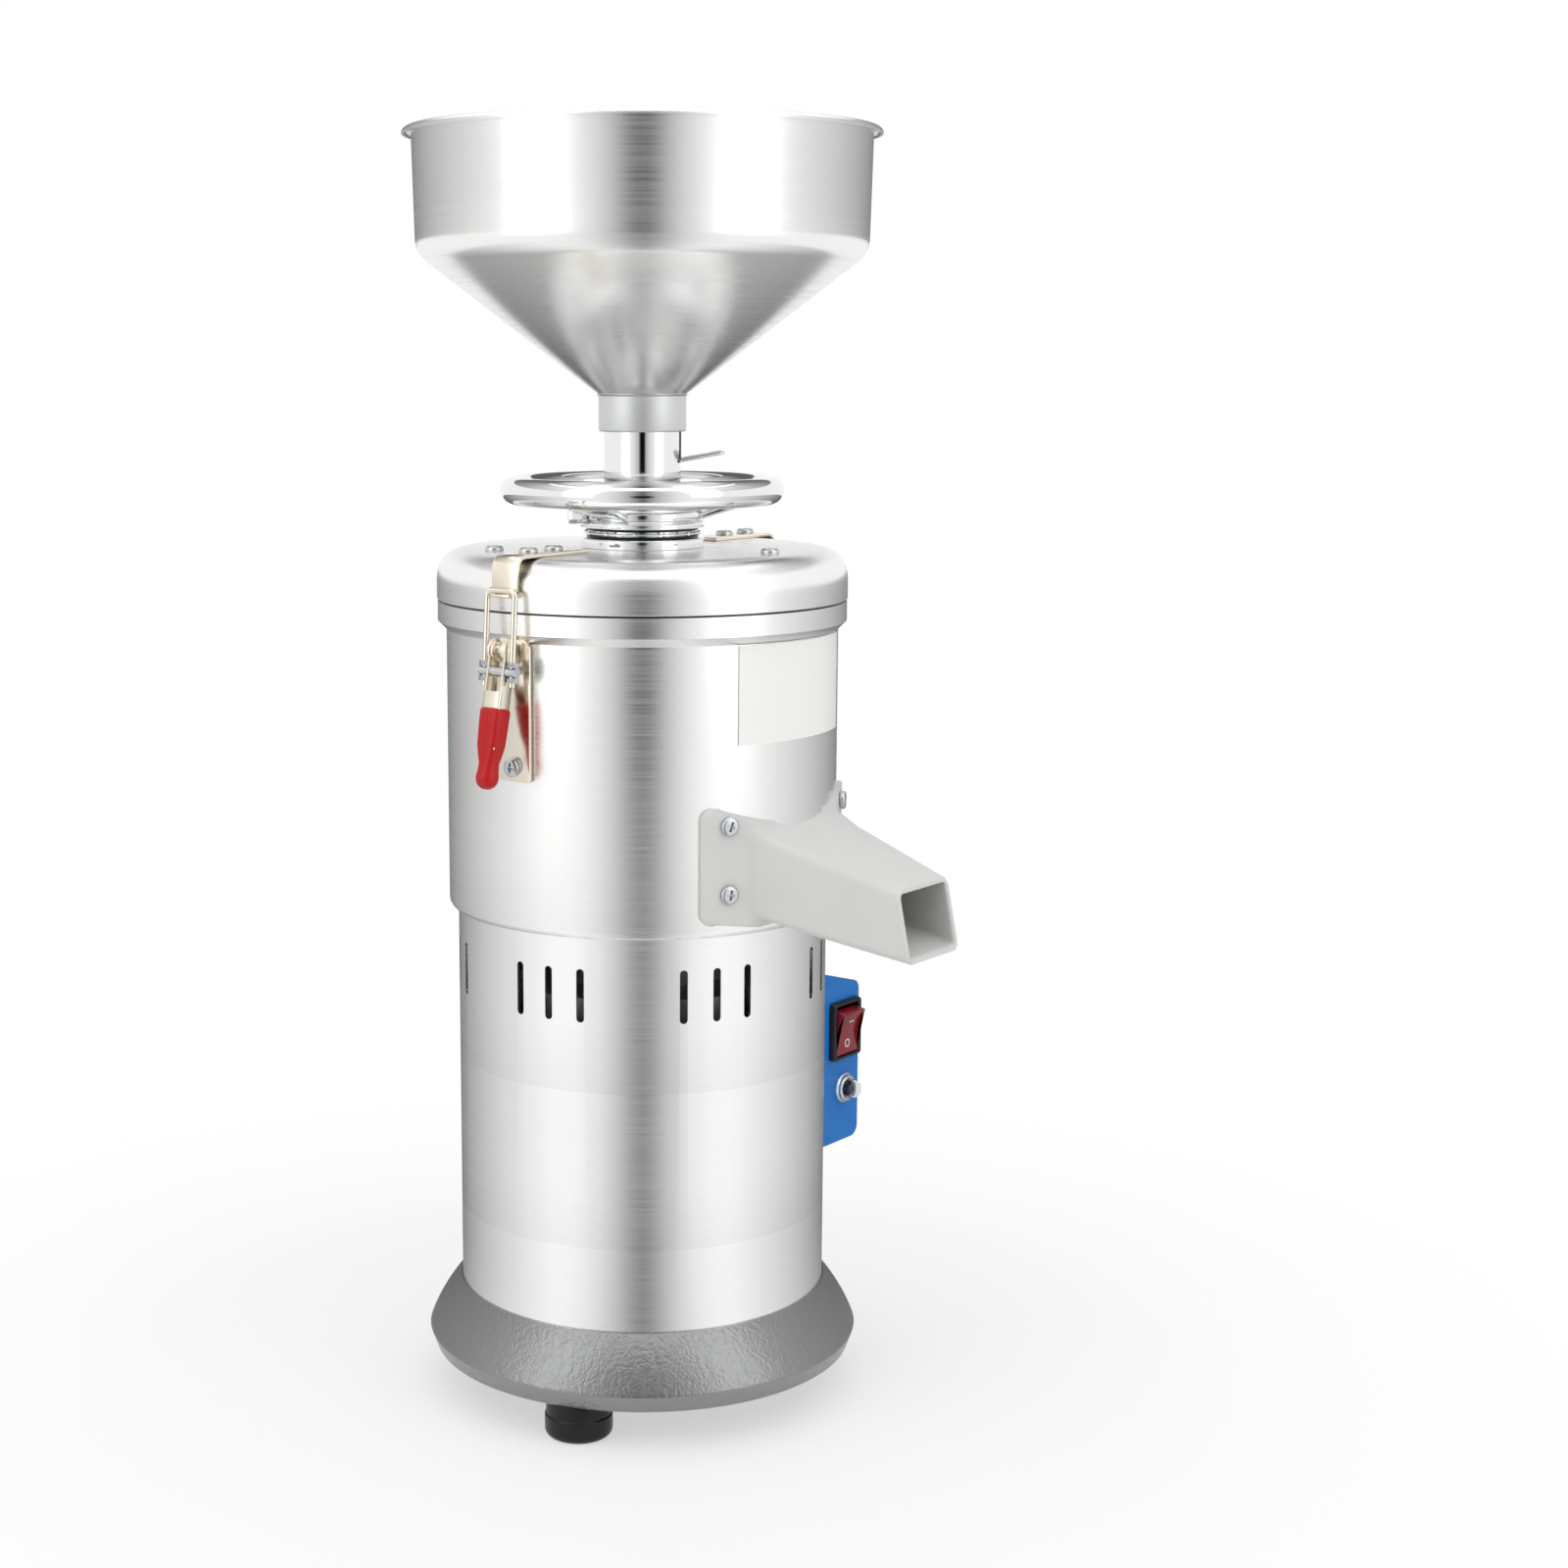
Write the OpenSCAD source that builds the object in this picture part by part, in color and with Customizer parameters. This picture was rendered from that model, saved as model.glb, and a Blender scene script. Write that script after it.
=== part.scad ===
/* [Feet and base] */
// Height of each rubber foot
foot_h = 20; // [12:1:35]
// Diameter of each rubber foot
foot_d = 34.5; // [28:0.5:36]
// Radius of the circle on which the feet stand
foot_ring_r = 94; // [90:1:95]
// Height of the base casting
base_h = 36; // [30:1:45]
// Radius of the base casting at its widest
base_r = 113.5; // [112:0.5:120]
// Wall of the base casting
base_wall = 5; // [3:0.5:6]

/* [Motor cover] */
// Outer radius of the sheet-metal motor cover
cover_r = 96; // [94:0.5:97]
// Sheet thickness of the motor cover
cover_wall = 1.5; // [0.8:0.1:2.5]
// Height of the motor cover
cover_h = 206; // [204:1:230]
// Number of groups of vent slots
vent_groups = 7; // [4:1:9]
// Length of one vent slot
vent_slot_h = 27; // [12:1:34]
// Width of one vent slot
vent_slot_w = 4; // [2:0.5:5]

/* [Motor] */
// Radius of the motor shaft
shaft_r = 10; // [8:0.5:11]
// Outer radius of the stator core
stator_r = 76; // [70:1:80]
// Outer radius of the rotor core
rotor_r = 41.5; // [34:0.5:46]
// Height of the stator core
stator_h = 76; // [60:1:80]
// Outer radius of a motor bearing
bearing_r = 23.5; // [20:0.5:25]
// Width of a motor bearing
bearing_w = 14; // [10:1:15]

/* [Grinding chamber] */
// How far the grinding chamber stands out past the motor cover
drum_step = 4.6; // [4:0.2:6]
// Wall of the grinding chamber
drum_wall = 3; // [2:0.5:4]
// Height of the chamber above its floor's underside
drum_h = 153.3; // [145:1:170]
// How far the flange at the chamber's mouth stands out past its wall
flange_step = 4.4; // [3:0.2:5.4]
// Radius of the grinding burrs
burr_r = 60; // [50:1:66]
// Gap between the burrs at the finest setting
grind_gap = 0.6; // [0.3:0.1:1.5]

/* [Spout] */
// Width of the spout where it leaves the drum
spout_root_w = 75; // [60:1:78]
// Width of the spout at its mouth
spout_mouth_w = 46; // [36:1:60]
// Distance from the drum's axis to the top edge of the mouth
spout_reach = 171.5; // [150:0.5:200]
// Wall of the spout
spout_wall = 3; // [2:0.5:4]
// Half of the angle that the spout's flange covers
spout_flange_half = 36; // [34:1:42]

/* [Lid] */
// Height of the lid above its gasket
lid_h = 25.9; // [22:0.5:32]
// Wall of the lid
lid_wall = 4; // [3:0.5:5]
// Thickness of the lid gasket
gasket_h = 0.8; // [0.5:0.1:2]

/* [Handwheel] */
// Radius from the axis to the middle of the rim tube
wheel_r = 65.5; // [60:0.5:72]
// Diameter of the rim tube
rim_d = 14; // [10:0.5:16]
// Height of the rim's middle above the hub's foot
rim_rise = 19; // [15:0.5:26]
// Width of a spoke
spoke_w = 17.5; // [12:0.5:20]
// Largest radius of the hub
hub_r = 31.6; // [31:0.2:34]
// Height of the hub
hub_h = 10; // [9:0.5:13]

/* [Feed tube and hopper] */
// Outer radius of the feed tube
tube_r = 19.7; // [19:0.1:20.5]
// Bore radius of the feed tube
tube_bore_r = 17.5; // [15:0.5:18]
// Height of the hopper's rim above the collar's foot
hopper_h = 149.5; // [120:0.5:180]
// Radius of the hopper's wall
hopper_r = 115.4; // [100:0.2:130]
// Sheet thickness of the hopper
hopper_wall = 1.2; // [0.8:0.1:2.5]
// Outer radius of the hopper's collar
collar_r = 22.3; // [22:0.1:25]
// Height of the hopper's collar
collar_h = 18.5; // [16:0.5:30]
// Width of the feed gate
gate_w = 20; // [12:1:24]
// Length of the feed gate
gate_l = 24; // [22:1:36]

/* [Latches] */
// Width of a latch's base plate
latch_plate_w = 22; // [20:0.5:26]
// Height of a latch's base plate
latch_plate_h = 68; // [60:1:80]
// Diameter of the hook wire
hook_wire_d = 3; // [2.5:0.1:3.4]
// Length of the hook from its crossbar to its top bar
hook_l = 39; // [36:0.5:44]
// Length of the latch lever below its pivot, inside its grip
lever_l = 48; // [44:1:50]

/* [Switch box] */
// Width of the switch box, away from the motor cover
box_reach = 57; // [50:1:70]
// Depth of the switch box, front to back
box_depth = 66; // [60:1:80]
// Height of the switch box
box_h = 91; // [84:1:110]
// Wall of the switch box
box_wall = 3; // [2:0.5:4]

/* [Hidden] */
$fn = 64;

// Clearances: a running fit, a seat between fixed pieces, and open air round a moving piece
run_gap = 0.05;
seat_gap = 0.05;
air_gap = 0.4;
// How far a cut runs past the face that it opens
past = 1;

drum_r = cover_r + drum_step;
flange_r = drum_r + flange_step;

// Levels, counted up from the floor
base_z = foot_h;
deck_h = 8;
deck_z = base_z + base_h - deck_h;
cover_z = base_z + base_h;
drum_z = cover_z + cover_h;
drum_floor_h = 6;
floor_head_h = 3;
drum_skirt = 5;
flange_h = 10;
flange_fall = 4.3;
drum_top = drum_z + drum_h;
lid_z = drum_top + gasket_h;
lid_top = lid_z + lid_h;

// Pan-head screws, shared by the lid, the spout and the latches
pan_r = 4.7;
pan_h = 2.6;
screw_r = 2.4;
screw_hole_r = screw_r + seat_gap;

// Motor
lower_plate_z = cover_z + 34;
plate_h = 16;
stator_z = lower_plate_z + plate_h + 12;
upper_plate_z = stator_z + stator_h + 12;
upper_plate_top = upper_plate_z + plate_h;
plate_r = stator_r + 2;
leg_r = 7;
leg_ring_r = stator_r - 6;
bolt_ring_r = stator_r - 6;
tie_bolt_r = 3;
coil_r1 = rotor_r + 4.5;
coil_r2 = stator_r - 10;
fan_r = leg_ring_r - leg_r - 4;
fan_z = cover_z + 6;
fan_h = 22;
adapter_bore_r = bearing_r - 2;
adapter_tube_r = adapter_bore_r + 12;
adapter_flange_r = adapter_tube_r + 18;
adapter_flange_h = 8;
adapter_bolt_r = adapter_tube_r + 9;

// Shaft seal and what turns inside the chamber
seal_r = 17.5;
seal_h = 7;
seal_hub_h = 14;
seal_top = drum_z + seal_hub_h;
shoulder_z = seal_top + air_gap;
impeller_z = shoulder_z + 2.6;
impeller_hub_h = 21;
paddle_h = 26;
paddle_r = drum_r - drum_wall - 5;
rotor_burr_z = impeller_z + impeller_hub_h;
rotor_burr_h = 18;
nut_recess = 7;
nut_h = 10;
nut_r = 13.8;
stator_burr_z = rotor_burr_z + rotor_burr_h + grind_gap;
stator_burr_h = 15.4;
carrier_z = stator_burr_z + stator_burr_h;
carrier_h = 6;
carrier_r = burr_r - 2;
burr_lift = 2;
groove_count = 16;
groove_depth = 1.2;
burr_screw_angles = [60, 120, 240, 300];
burr_screw_ring_r = 46;

// Adjusting gear on the lid
thread_r = 22;
skirt_r = 25;
lid_hub_r = 34;
lid_hub_h = 18;
boss_h = 5;
bearing_gap_h = 5;
hub_z = lid_top + boss_h + bearing_gap_h;
hub_band_h = 3.5;
hub_top = hub_z + hub_h;
rim_z = hub_z + rim_rise;
spoke_t = 3.2;
spoke_angles = [-172, -52, 68];
race_h = 1.2;
race_r = 28.6;
cage_r = 30.4;
cage_h = 0.8;
ball_count = 12;
ball_ring_r = 27.6;
ring_h = 2.5;
ring_r = 30;
ring_z = lid_top - lid_hub_h - air_gap - ring_h;
skirt_z = ring_z - 2;
lock_angle = 143;
lock_z = hub_z + 6.7;
pin_r = 4;
guide_pin_ring_r = 44;
guide_angles = [0, 180];

// Feed tube, gate and hopper
tube_top = hub_top + 54;
shoulder_drop = 3;
collar_z = tube_top - 15.5;
gate_angle = -45;
gate_tilt = 10;
gate_t = 1.5;
gate_z = tube_top - 33.5;
gate_inner = tube_bore_r + 0.3;
notch_w = 6;
notch_h = 14;
notch_angle = -62;
hopper_z = collar_z + collar_h;
rim_roll_r = 3;
cone_slope = 38;
knee_r = 14;

// Spout
spout_z1 = drum_z + 4;
spout_z2 = drum_z + 47;
flange_z1 = drum_z + 2;
flange_z2 = drum_z + 60;
flange_t = 3;
flange_out_r = drum_r + seat_gap + flange_t;
mouth_top_z = drum_z + 25.5;
mouth_h = 37;
mouth_tilt = 11.7;
spout_root_corner = 9;
spout_mouth_corner = 8;
spout_screw_angles = [-28, 28];
spout_screw_zs = [drum_z + 17.5, drum_z + 51.3];

// Latches: the pivot of the lever, and the hook's crossbar in the closed lever
pivot_u = drum_r + 8.9;
pivot_z = drum_top - 17.3;
bar_z = lid_z + 10.9;
bar_u = drum_r + 9.4;
hook_lean = 3.7;
cross_u = bar_u + hook_l * sin(hook_lean);
cross_z = bar_z - hook_l * cos(hook_lean);
cross_r = 2.5;
lever_lean = 11.3;
plate_t = 2;
plate_up = 3;
plate_u = drum_r + seat_gap;
ear_in = 2.4;
ear_t = 1.4;
ear_r = 5;
cheek_in = ear_in + ear_t + 0.3;
cheek_t = 1.4;
cheek_n = 4;
cheek_r = 5.5;
leg_t = 8.6;
bend_r = 3;
latch_pin_r = 2.5;
grip_top = 28;
grip_bulb = 62;
latch_foot_screw = 7;
keeper_w = 16;
keeper_t = 2;
keeper_in_r = 53;
keeper_drop_u = bar_u - hook_wire_d / 2 - air_gap - 0.2;
keeper_screw_rs = [71, 90];
lid_screw_r = 80;
lid_screw_angles = [-90, 30, 150];

// Switch box: the panel faces the spout's side
box_x1 = cover_r + box_reach;
box_y0 = -box_depth * 36 / 66;
box_y1 = box_y0 + box_depth;
box_z = cover_z + 44;
box_corner = 6;
panel_t = 3;
control_x = cover_r + 41;
rocker_z = box_z + 65;
reset_z = box_z + 31;
bezel_w = 27;
bezel_h = 33;
bezel_out = 4;
bezel_deep = 10;
rocker_w = 21;
rocker_half = 12.5;
rocker_tilt = 12;
rocker_front = 4;
trunnion_r = 1.5;
reset_r = 5.5;
reset_out = 12;
reset_collar_r = 8.5;
reset_collar_h = 4.5;
gland_x = cover_r + 32;
gland_y = 6;
gland_r = 11;
gland_bore_r = 4.5;
gland_l = 20;
wire_hole_r = 8;

module ring(r_out, r_in, h, z = 0) {
    translate([0, 0, z])
        difference() {
            cylinder(r = r_out, h = h);
            translate([0, 0, -past]) cylinder(r = r_in, h = h + 2 * past);
        }
}

module around(angles, r) {
    for (a = angles) rotate([0, 0, a]) translate([r, 0, 0]) children();
}

function evenly(count, start = 0) = [for (i = [0:count - 1]) start + i * 360 / count];

// A pan-head screw whose head sits on z = 0 and points up
module pan_screw(shank_l) {
    rotate_extrude()
        polygon(concat([[0, -shank_l], [screw_r, -shank_l], [screw_r, 0], [pan_r, 0], [pan_r, pan_h * 0.45]],
            [for (a = [15:15:75]) [pan_r * cos(a) * 0.5 + pan_r * 0.5, pan_h * (0.45 + 0.55 * sin(a))]],
            [[0, pan_h]]));
}

// ---- feet and base ----

module foot_profile() {
    polygon([[0, 0], [foot_d / 2 - 2, 0], [foot_d / 2, 2], [foot_d / 2, foot_h - 1],
        [foot_d / 2 - 1, foot_h], [0, foot_h]]);
}

foot_angles = [198, 318, 78];
foot_screw_r = 3;
foot_screw_depth = 16;
foot_recess_r = 7;
foot_recess_h = foot_h * 0.4;
foot_boss_r = 12;
screw_head_r = 6;
screw_head_h = 4;

module rubber_feet() {
    color("dimgray")
        around(foot_angles, foot_ring_r)
            difference() {
                rotate_extrude() foot_profile();
                translate([0, 0, -past])
                    cylinder(r = foot_recess_r, h = foot_recess_h - screw_head_h + past);
                cylinder(r = screw_head_r + seat_gap, h = foot_recess_h);
                cylinder(r = foot_screw_r + seat_gap, h = foot_h + past);
            }
}

module foot_screws() {
    color("silver")
        around(foot_angles, foot_ring_r)
            translate([0, 0, foot_recess_h]) {
                translate([0, 0, -screw_head_h]) cylinder(r = screw_head_r, h = screw_head_h);
                cylinder(r = foot_screw_r, h = foot_h - foot_recess_h + foot_screw_depth);
            }
}

// The flare is a cone from the foot's rim up to the cover's seat, crowned a little
flare_crown = 1.6;
function flare(r_foot, r_top, z_foot, z_top) =
    [for (k = [0:1/6:1.01]) [r_foot + (r_top - r_foot) * k + 4 * flare_crown * k * (1 - k),
                          z_foot + (z_top - z_foot) * k]];

rim_band_h = 9;
foot_boss_h = foot_screw_depth + 4;
deck_bore_r = 28;

module base_casting() {
    color("darkgray")
        difference() {
            union() {
                rotate_extrude()
                    polygon(concat([[base_r - base_wall, base_z], [base_r - 3, base_z]],
                        flare(base_r, cover_r + 1, base_z + rim_band_h, base_z + base_h),
                        [[0, base_z + base_h], [0, deck_z], [cover_r - base_wall, deck_z]],
                        [[base_r - base_wall, base_z + rim_band_h]]));
                around(foot_angles, foot_ring_r)
                    translate([0, 0, base_z]) cylinder(r = foot_boss_r, h = foot_boss_h);
            }
            translate([0, 0, base_z]) cylinder(r = deck_bore_r, h = base_h + past);
            around(foot_angles, foot_ring_r)
                translate([0, 0, base_z - past])
                    cylinder(r = foot_screw_r + seat_gap, h = foot_screw_depth + 2 + past);
        }
}

// ---- motor cover and motor ----

vent_z = drum_z - 34;
vent_pitch = 10.3;
vent_start = -170.9;

module vent_slot() {
    straight = vent_slot_h - vent_slot_w;
    translate([-4, -vent_slot_w / 2, vent_z - straight / 2]) cube([8, vent_slot_w, straight]);
    for (s = [-1, 1])
        translate([-4, 0, vent_z + s * straight / 2]) rotate([0, 90, 0]) cylinder(d = vent_slot_w, h = 8);
}

module wire_hole() {
    translate([cover_r - 6, 0, box_z + box_h / 2]) rotate([0, 90, 0]) cylinder(r = wire_hole_r, h = 12);
}

module motor_cover() {
    color("silver")
        difference() {
            ring(cover_r, cover_r - cover_wall, cover_h, cover_z);
            around([for (g = evenly(vent_groups, vent_start), s = [-1:1]) g + s * vent_pitch], cover_r)
                vent_slot();
            wire_hole();
        }
}

leg_angles = evenly(4);
bolt_angles = evenly(4, 45);

module motor_plate(z) {
    difference() {
        translate([0, 0, z]) cylinder(r = plate_r, h = plate_h);
        translate([0, 0, z + plate_h - bearing_w]) cylinder(r = bearing_r + seat_gap, h = bearing_w + past);
        translate([0, 0, z - past]) cylinder(r = bearing_r - 5, h = plate_h + 2 * past);
        around(bolt_angles, bolt_ring_r)
            translate([0, 0, z - past]) cylinder(r = tie_bolt_r + seat_gap, h = plate_h + 2 * past);
    }
}

module motor_lower_plate() {
    color("gray") {
        motor_plate(lower_plate_z);
        around(leg_angles, leg_ring_r)
            translate([0, 0, cover_z]) cylinder(r = leg_r, h = lower_plate_z - cover_z + 2);
    }
}

module motor_upper_plate() {
    color("gray") motor_plate(upper_plate_z);
}

module motor_stator() {
    color("slategray")
        difference() {
            ring(stator_r, rotor_r + 0.5, stator_h, stator_z);
            around(bolt_angles, bolt_ring_r)
                translate([0, 0, stator_z - past])
                    cylinder(r = tie_bolt_r + seat_gap, h = stator_h + 2 * past);
        }
}

coil_h = 10;

module motor_windings() {
    color("peru")
        for (z = [stator_z - coil_h, stator_z + stator_h]) ring(coil_r2, coil_r1, coil_h, z);
}

module motor_tie_bolts() {
    color("silver")
        around(bolt_angles, bolt_ring_r) {
            translate([0, 0, lower_plate_z - screw_head_h])
                cylinder(r = 2 * tie_bolt_r, h = screw_head_h, $fn = 6);
            translate([0, 0, lower_plate_z]) cylinder(r = tie_bolt_r, h = upper_plate_top - lower_plate_z);
            translate([0, 0, upper_plate_top]) cylinder(r = 2 * tie_bolt_r, h = 5, $fn = 6);
        }
}

module bearings() {
    color("lightsteelblue")
        for (z = [lower_plate_z, upper_plate_z])
            ring(bearing_r, shaft_r + run_gap, bearing_w, z + plate_h - bearing_w);
}

module motor_shaft() {
    burr_top = rotor_burr_z + rotor_burr_h;
    color("lightgray") {
        translate([0, 0, fan_z - 2]) cylinder(r = shaft_r, h = burr_top - nut_recess - fan_z + 2);
        translate([0, 0, shoulder_z]) cylinder(r = shaft_r + 2.5, h = impeller_z - shoulder_z);
        translate([0, 0, burr_top - nut_recess]) cylinder(r = shaft_r - 2, h = nut_h + 4);
    }
}

module rotor_core() {
    color("dimgray") ring(rotor_r, shaft_r + 0.02, stator_h, stator_z);
}

fan_blades = 8;

module cooling_fan() {
    color("black")
        difference() {
            union() {
                translate([0, 0, fan_z]) cylinder(r = 17, h = fan_h);
                translate([0, 0, fan_z]) cylinder(r = fan_r, h = 2);
                for (a = evenly(fan_blades))
                    rotate([0, 0, a]) translate([15, -1, fan_z + 1]) cube([fan_r - 16, 2, fan_h - 1]);
            }
            translate([0, 0, fan_z - past]) cylinder(r = shaft_r + 0.02, h = fan_h + 2 * past);
        }
}

module motor_adapter() {
    color("gray")
        difference() {
            union() {
                translate([0, 0, upper_plate_top]) cylinder(r = adapter_tube_r, h = drum_z - upper_plate_top);
                translate([0, 0, upper_plate_top]) cylinder(r = adapter_flange_r, h = adapter_flange_h);
                translate([0, 0, drum_z - adapter_flange_h])
                    cylinder(r = adapter_flange_r, h = adapter_flange_h);
            }
            translate([0, 0, upper_plate_top - past]) cylinder(r = adapter_bore_r, h = drum_z);
            around(bolt_angles, adapter_bolt_r)
                translate([0, 0, drum_z - adapter_flange_h - past])
                    cylinder(r = tie_bolt_r + seat_gap, h = adapter_flange_h + 2 * past);
        }
}

module shaft_seal() {
    color("black") ring(seal_r, shaft_r + run_gap, seal_h, seal_top - seal_h);
}

// ---- what turns in the chamber ----

module discharge_impeller() {
    top = impeller_z + impeller_hub_h;
    color("lightgray")
        difference() {
            union() {
                translate([0, 0, impeller_z]) cylinder(r = 20, h = impeller_hub_h);
                translate([0, 0, top - 4]) cylinder(r = burr_r + 2, h = 4);
                for (a = evenly(4))
                    rotate([0, 0, a])
                        translate([18, -2, top - paddle_h]) cube([paddle_r - 18, 4, paddle_h]);
            }
            translate([0, 0, drum_z]) cylinder(r = shaft_r + 0.02, h = 100);
            translate([0, 0, drum_z]) cylinder(r = seal_r + 11, h = impeller_z - drum_z);
        }
}

// Straight grooves cut into a burr's face, each turned a little from the radius
module burr_grooves(z) {
    for (a = evenly(groove_count))
        rotate([0, 0, a]) translate([30, -8, z]) rotate([0, 0, 12]) cube([burr_r, 3, 2 * groove_depth]);
}

module rotor_burr() {
    top = rotor_burr_z + rotor_burr_h;
    color("darkgray")
        difference() {
            translate([0, 0, rotor_burr_z]) cylinder(r = burr_r, h = rotor_burr_h);
            translate([0, 0, rotor_burr_z - past]) cylinder(r = shaft_r + 0.02, h = 100);
            translate([0, 0, top - nut_recess]) cylinder(r = nut_r + 8, h = nut_recess + past);
            burr_grooves(top - groove_depth);
        }
}

module burr_nut() {
    color("silver")
        difference() {
            translate([0, 0, rotor_burr_z + rotor_burr_h - nut_recess])
                cylinder(r = nut_r, h = nut_h, $fn = 6);
            translate([0, 0, rotor_burr_z]) cylinder(r = shaft_r - 2 + 0.02, h = 100);
        }
}

module stator_burr() {
    feed_cone = 12;
    color("darkgray")
        difference() {
            translate([0, 0, stator_burr_z]) cylinder(r = burr_r, h = stator_burr_h);
            translate([0, 0, stator_burr_z - past]) cylinder(r = tube_bore_r, h = 100);
            translate([0, 0, stator_burr_z - 0.01])
                cylinder(r1 = tube_bore_r + 12, r2 = tube_bore_r - 0.01, h = feed_cone);
            burr_grooves(stator_burr_z - groove_depth);
            around(burr_screw_angles, burr_screw_ring_r)
                translate([0, 0, carrier_z - 8]) cylinder(r = screw_hole_r, h = 10);
        }
}

module burr_screws() {
    color("silver")
        around(burr_screw_angles, burr_screw_ring_r)
            translate([0, 0, carrier_z + carrier_h]) pan_screw(carrier_h + 7);
}

// ---- grinding chamber ----

module spout_window() {
    half = spout_root_w / 2 - spout_wall;
    low = drum_z + drum_floor_h;
    translate([-half, -drum_r - 10, low]) cube([2 * half, 40, spout_z2 - spout_wall - low]);
}

// A screw's way through plates of a total thickness, below z = 0
module screw_way(depth) {
    translate([0, 0, -depth - past]) cylinder(r = screw_hole_r, h = depth + 2 * past);
}

module spout_screw_places() {
    for (a = spout_screw_angles, z = spout_screw_zs)
        rotate([0, 0, a - 90]) translate([flange_out_r, 0, z]) rotate([0, 90, 0]) children();
}

latch_screw_z = pivot_z + plate_up - latch_plate_h + latch_foot_screw;

module latch_screw_places() {
    for (side = [0, 180])
        rotate([0, 0, side])
            translate([plate_u + plate_t, 0, latch_screw_z]) rotate([0, 90, 0]) children();
}

module grinding_chamber() {
    skirt_in = cover_r + 0.3;
    round_r = drum_r - skirt_in - 0.2;
    skirt_z1 = drum_z - drum_skirt;
    skirt_c = drum_r - round_r;
    boss_r = seal_r + 9;
    floor_z = drum_z + drum_floor_h;
    color("silver")
        difference() {
            rotate_extrude()
                polygon(concat([[skirt_in, skirt_z1]],
                    [for (a = [-90:18:0]) [skirt_c + round_r * cos(a), skirt_z1 + round_r * (1 + sin(a))]],
                    [[drum_r, drum_top - flange_h - flange_fall], [flange_r, drum_top - flange_h],
                    [flange_r, drum_top], [drum_r - drum_wall, drum_top], [drum_r - drum_wall, floor_z],
                    [boss_r, floor_z], [boss_r, seal_top], [seal_r + seat_gap, seal_top],
                    [seal_r + seat_gap, seal_top - seal_h], [shaft_r + 4, seal_top - seal_h],
                    [shaft_r + 4, drum_z], [skirt_in, drum_z]]));
            spout_window();
            spout_screw_places() screw_way(drum_wall + flange_t);
            latch_screw_places() screw_way(drum_wall + plate_t);
            around(bolt_angles, adapter_bolt_r) {
                translate([0, 0, drum_z - past])
                    cylinder(r = tie_bolt_r + seat_gap, h = drum_floor_h + 2 * past);
                translate([0, 0, floor_z - floor_head_h])
                    cylinder(r = 2 * tie_bolt_r, h = floor_head_h + past);
            }
        }
}

module chamber_screws() {
    color("silver")
        around(bolt_angles, adapter_bolt_r) {
            translate([0, 0, drum_z + drum_floor_h - floor_head_h])
                cylinder(r = 2 * tie_bolt_r - seat_gap, h = floor_head_h);
            translate([0, 0, drum_z - adapter_flange_h])
                cylinder(r = tie_bolt_r, h = adapter_flange_h + drum_floor_h - floor_head_h);
        }
}

// A rounded slab standing in the XZ plane, used for the two ends of the spout
module spout_slab(w, h, r) {
    for (x = [-1, 1], z = [-1, 1])
        translate([x * (w / 2 - r), 0, z * (h / 2 - r)])
            rotate([90, 0, 0]) cylinder(r = r, h = 0.2, $fn = 32);
}

module spout_loft(inset, run) {
    root_h = spout_z2 - spout_z1;
    mouth_y = -(spout_reach + sin(mouth_tilt) * mouth_h / 2);
    mouth_z = mouth_top_z - cos(mouth_tilt) * mouth_h / 2;
    root_y = -drum_r + 14;
    hull() {
        translate([0, root_y, (spout_z1 + spout_z2) / 2])
            spout_slab(spout_root_w - 2 * inset, root_h - 2 * inset, spout_root_corner - inset);
        translate([0, mouth_y - run, mouth_z])
            rotate([-mouth_tilt, 0, 0])
                spout_slab(spout_mouth_w - 2 * inset, mouth_h - 2 * inset, spout_mouth_corner - inset);
    }
}

module spout() {
    span = 2 * spout_flange_half;
    color("gainsboro")
        difference() {
            union() {
                rotate([0, 0, -90 - spout_flange_half])
                    rotate_extrude(angle = span)
                        translate([plate_u, flange_z1]) square([flange_t, flange_z2 - flange_z1]);
                spout_loft(0, 0);
            }
            cylinder(r = drum_r + seat_gap, h = drum_top);
            spout_loft(spout_wall, 0.4);
            spout_screw_places() screw_way(flange_t);
        }
}

module spout_screws() {
    color("silver") spout_screw_places() pan_screw(flange_t + 2.8);
}

label_half = 24.5;
label_h = 48.5;
label_z1 = drum_top - flange_h - flange_fall - 0.5 - label_h;
label_t = 0.4;
label_gap = 0.25;

module label_plate() {
    color("whitesmoke")
        rotate([0, 0, -90 - label_half])
            rotate_extrude(angle = 2 * label_half)
                translate([drum_r + label_gap, label_z1]) square([label_t, label_h]);
}

// ---- lid ----

dome_w = 22.6;

dome_foot = 8;
lid_r = flange_r + 0.3;
pad_r = 5;
pad_h = 9;

// The lid's outside: a low dome edge, nearly upright at the seam and flat on top
function dome(inset) = [for (a = [0:10:90])
    [lid_r - dome_w + (dome_w - inset) * pow(cos(a), 0.62),
    lid_z + dome_foot + (lid_h - dome_foot - inset) * pow(sin(a), 0.8)]];

module pad_places() {
    around(lid_screw_angles, lid_screw_r) children();
    for (r = keeper_screw_rs) around([0, 180], r) children();
}

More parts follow.
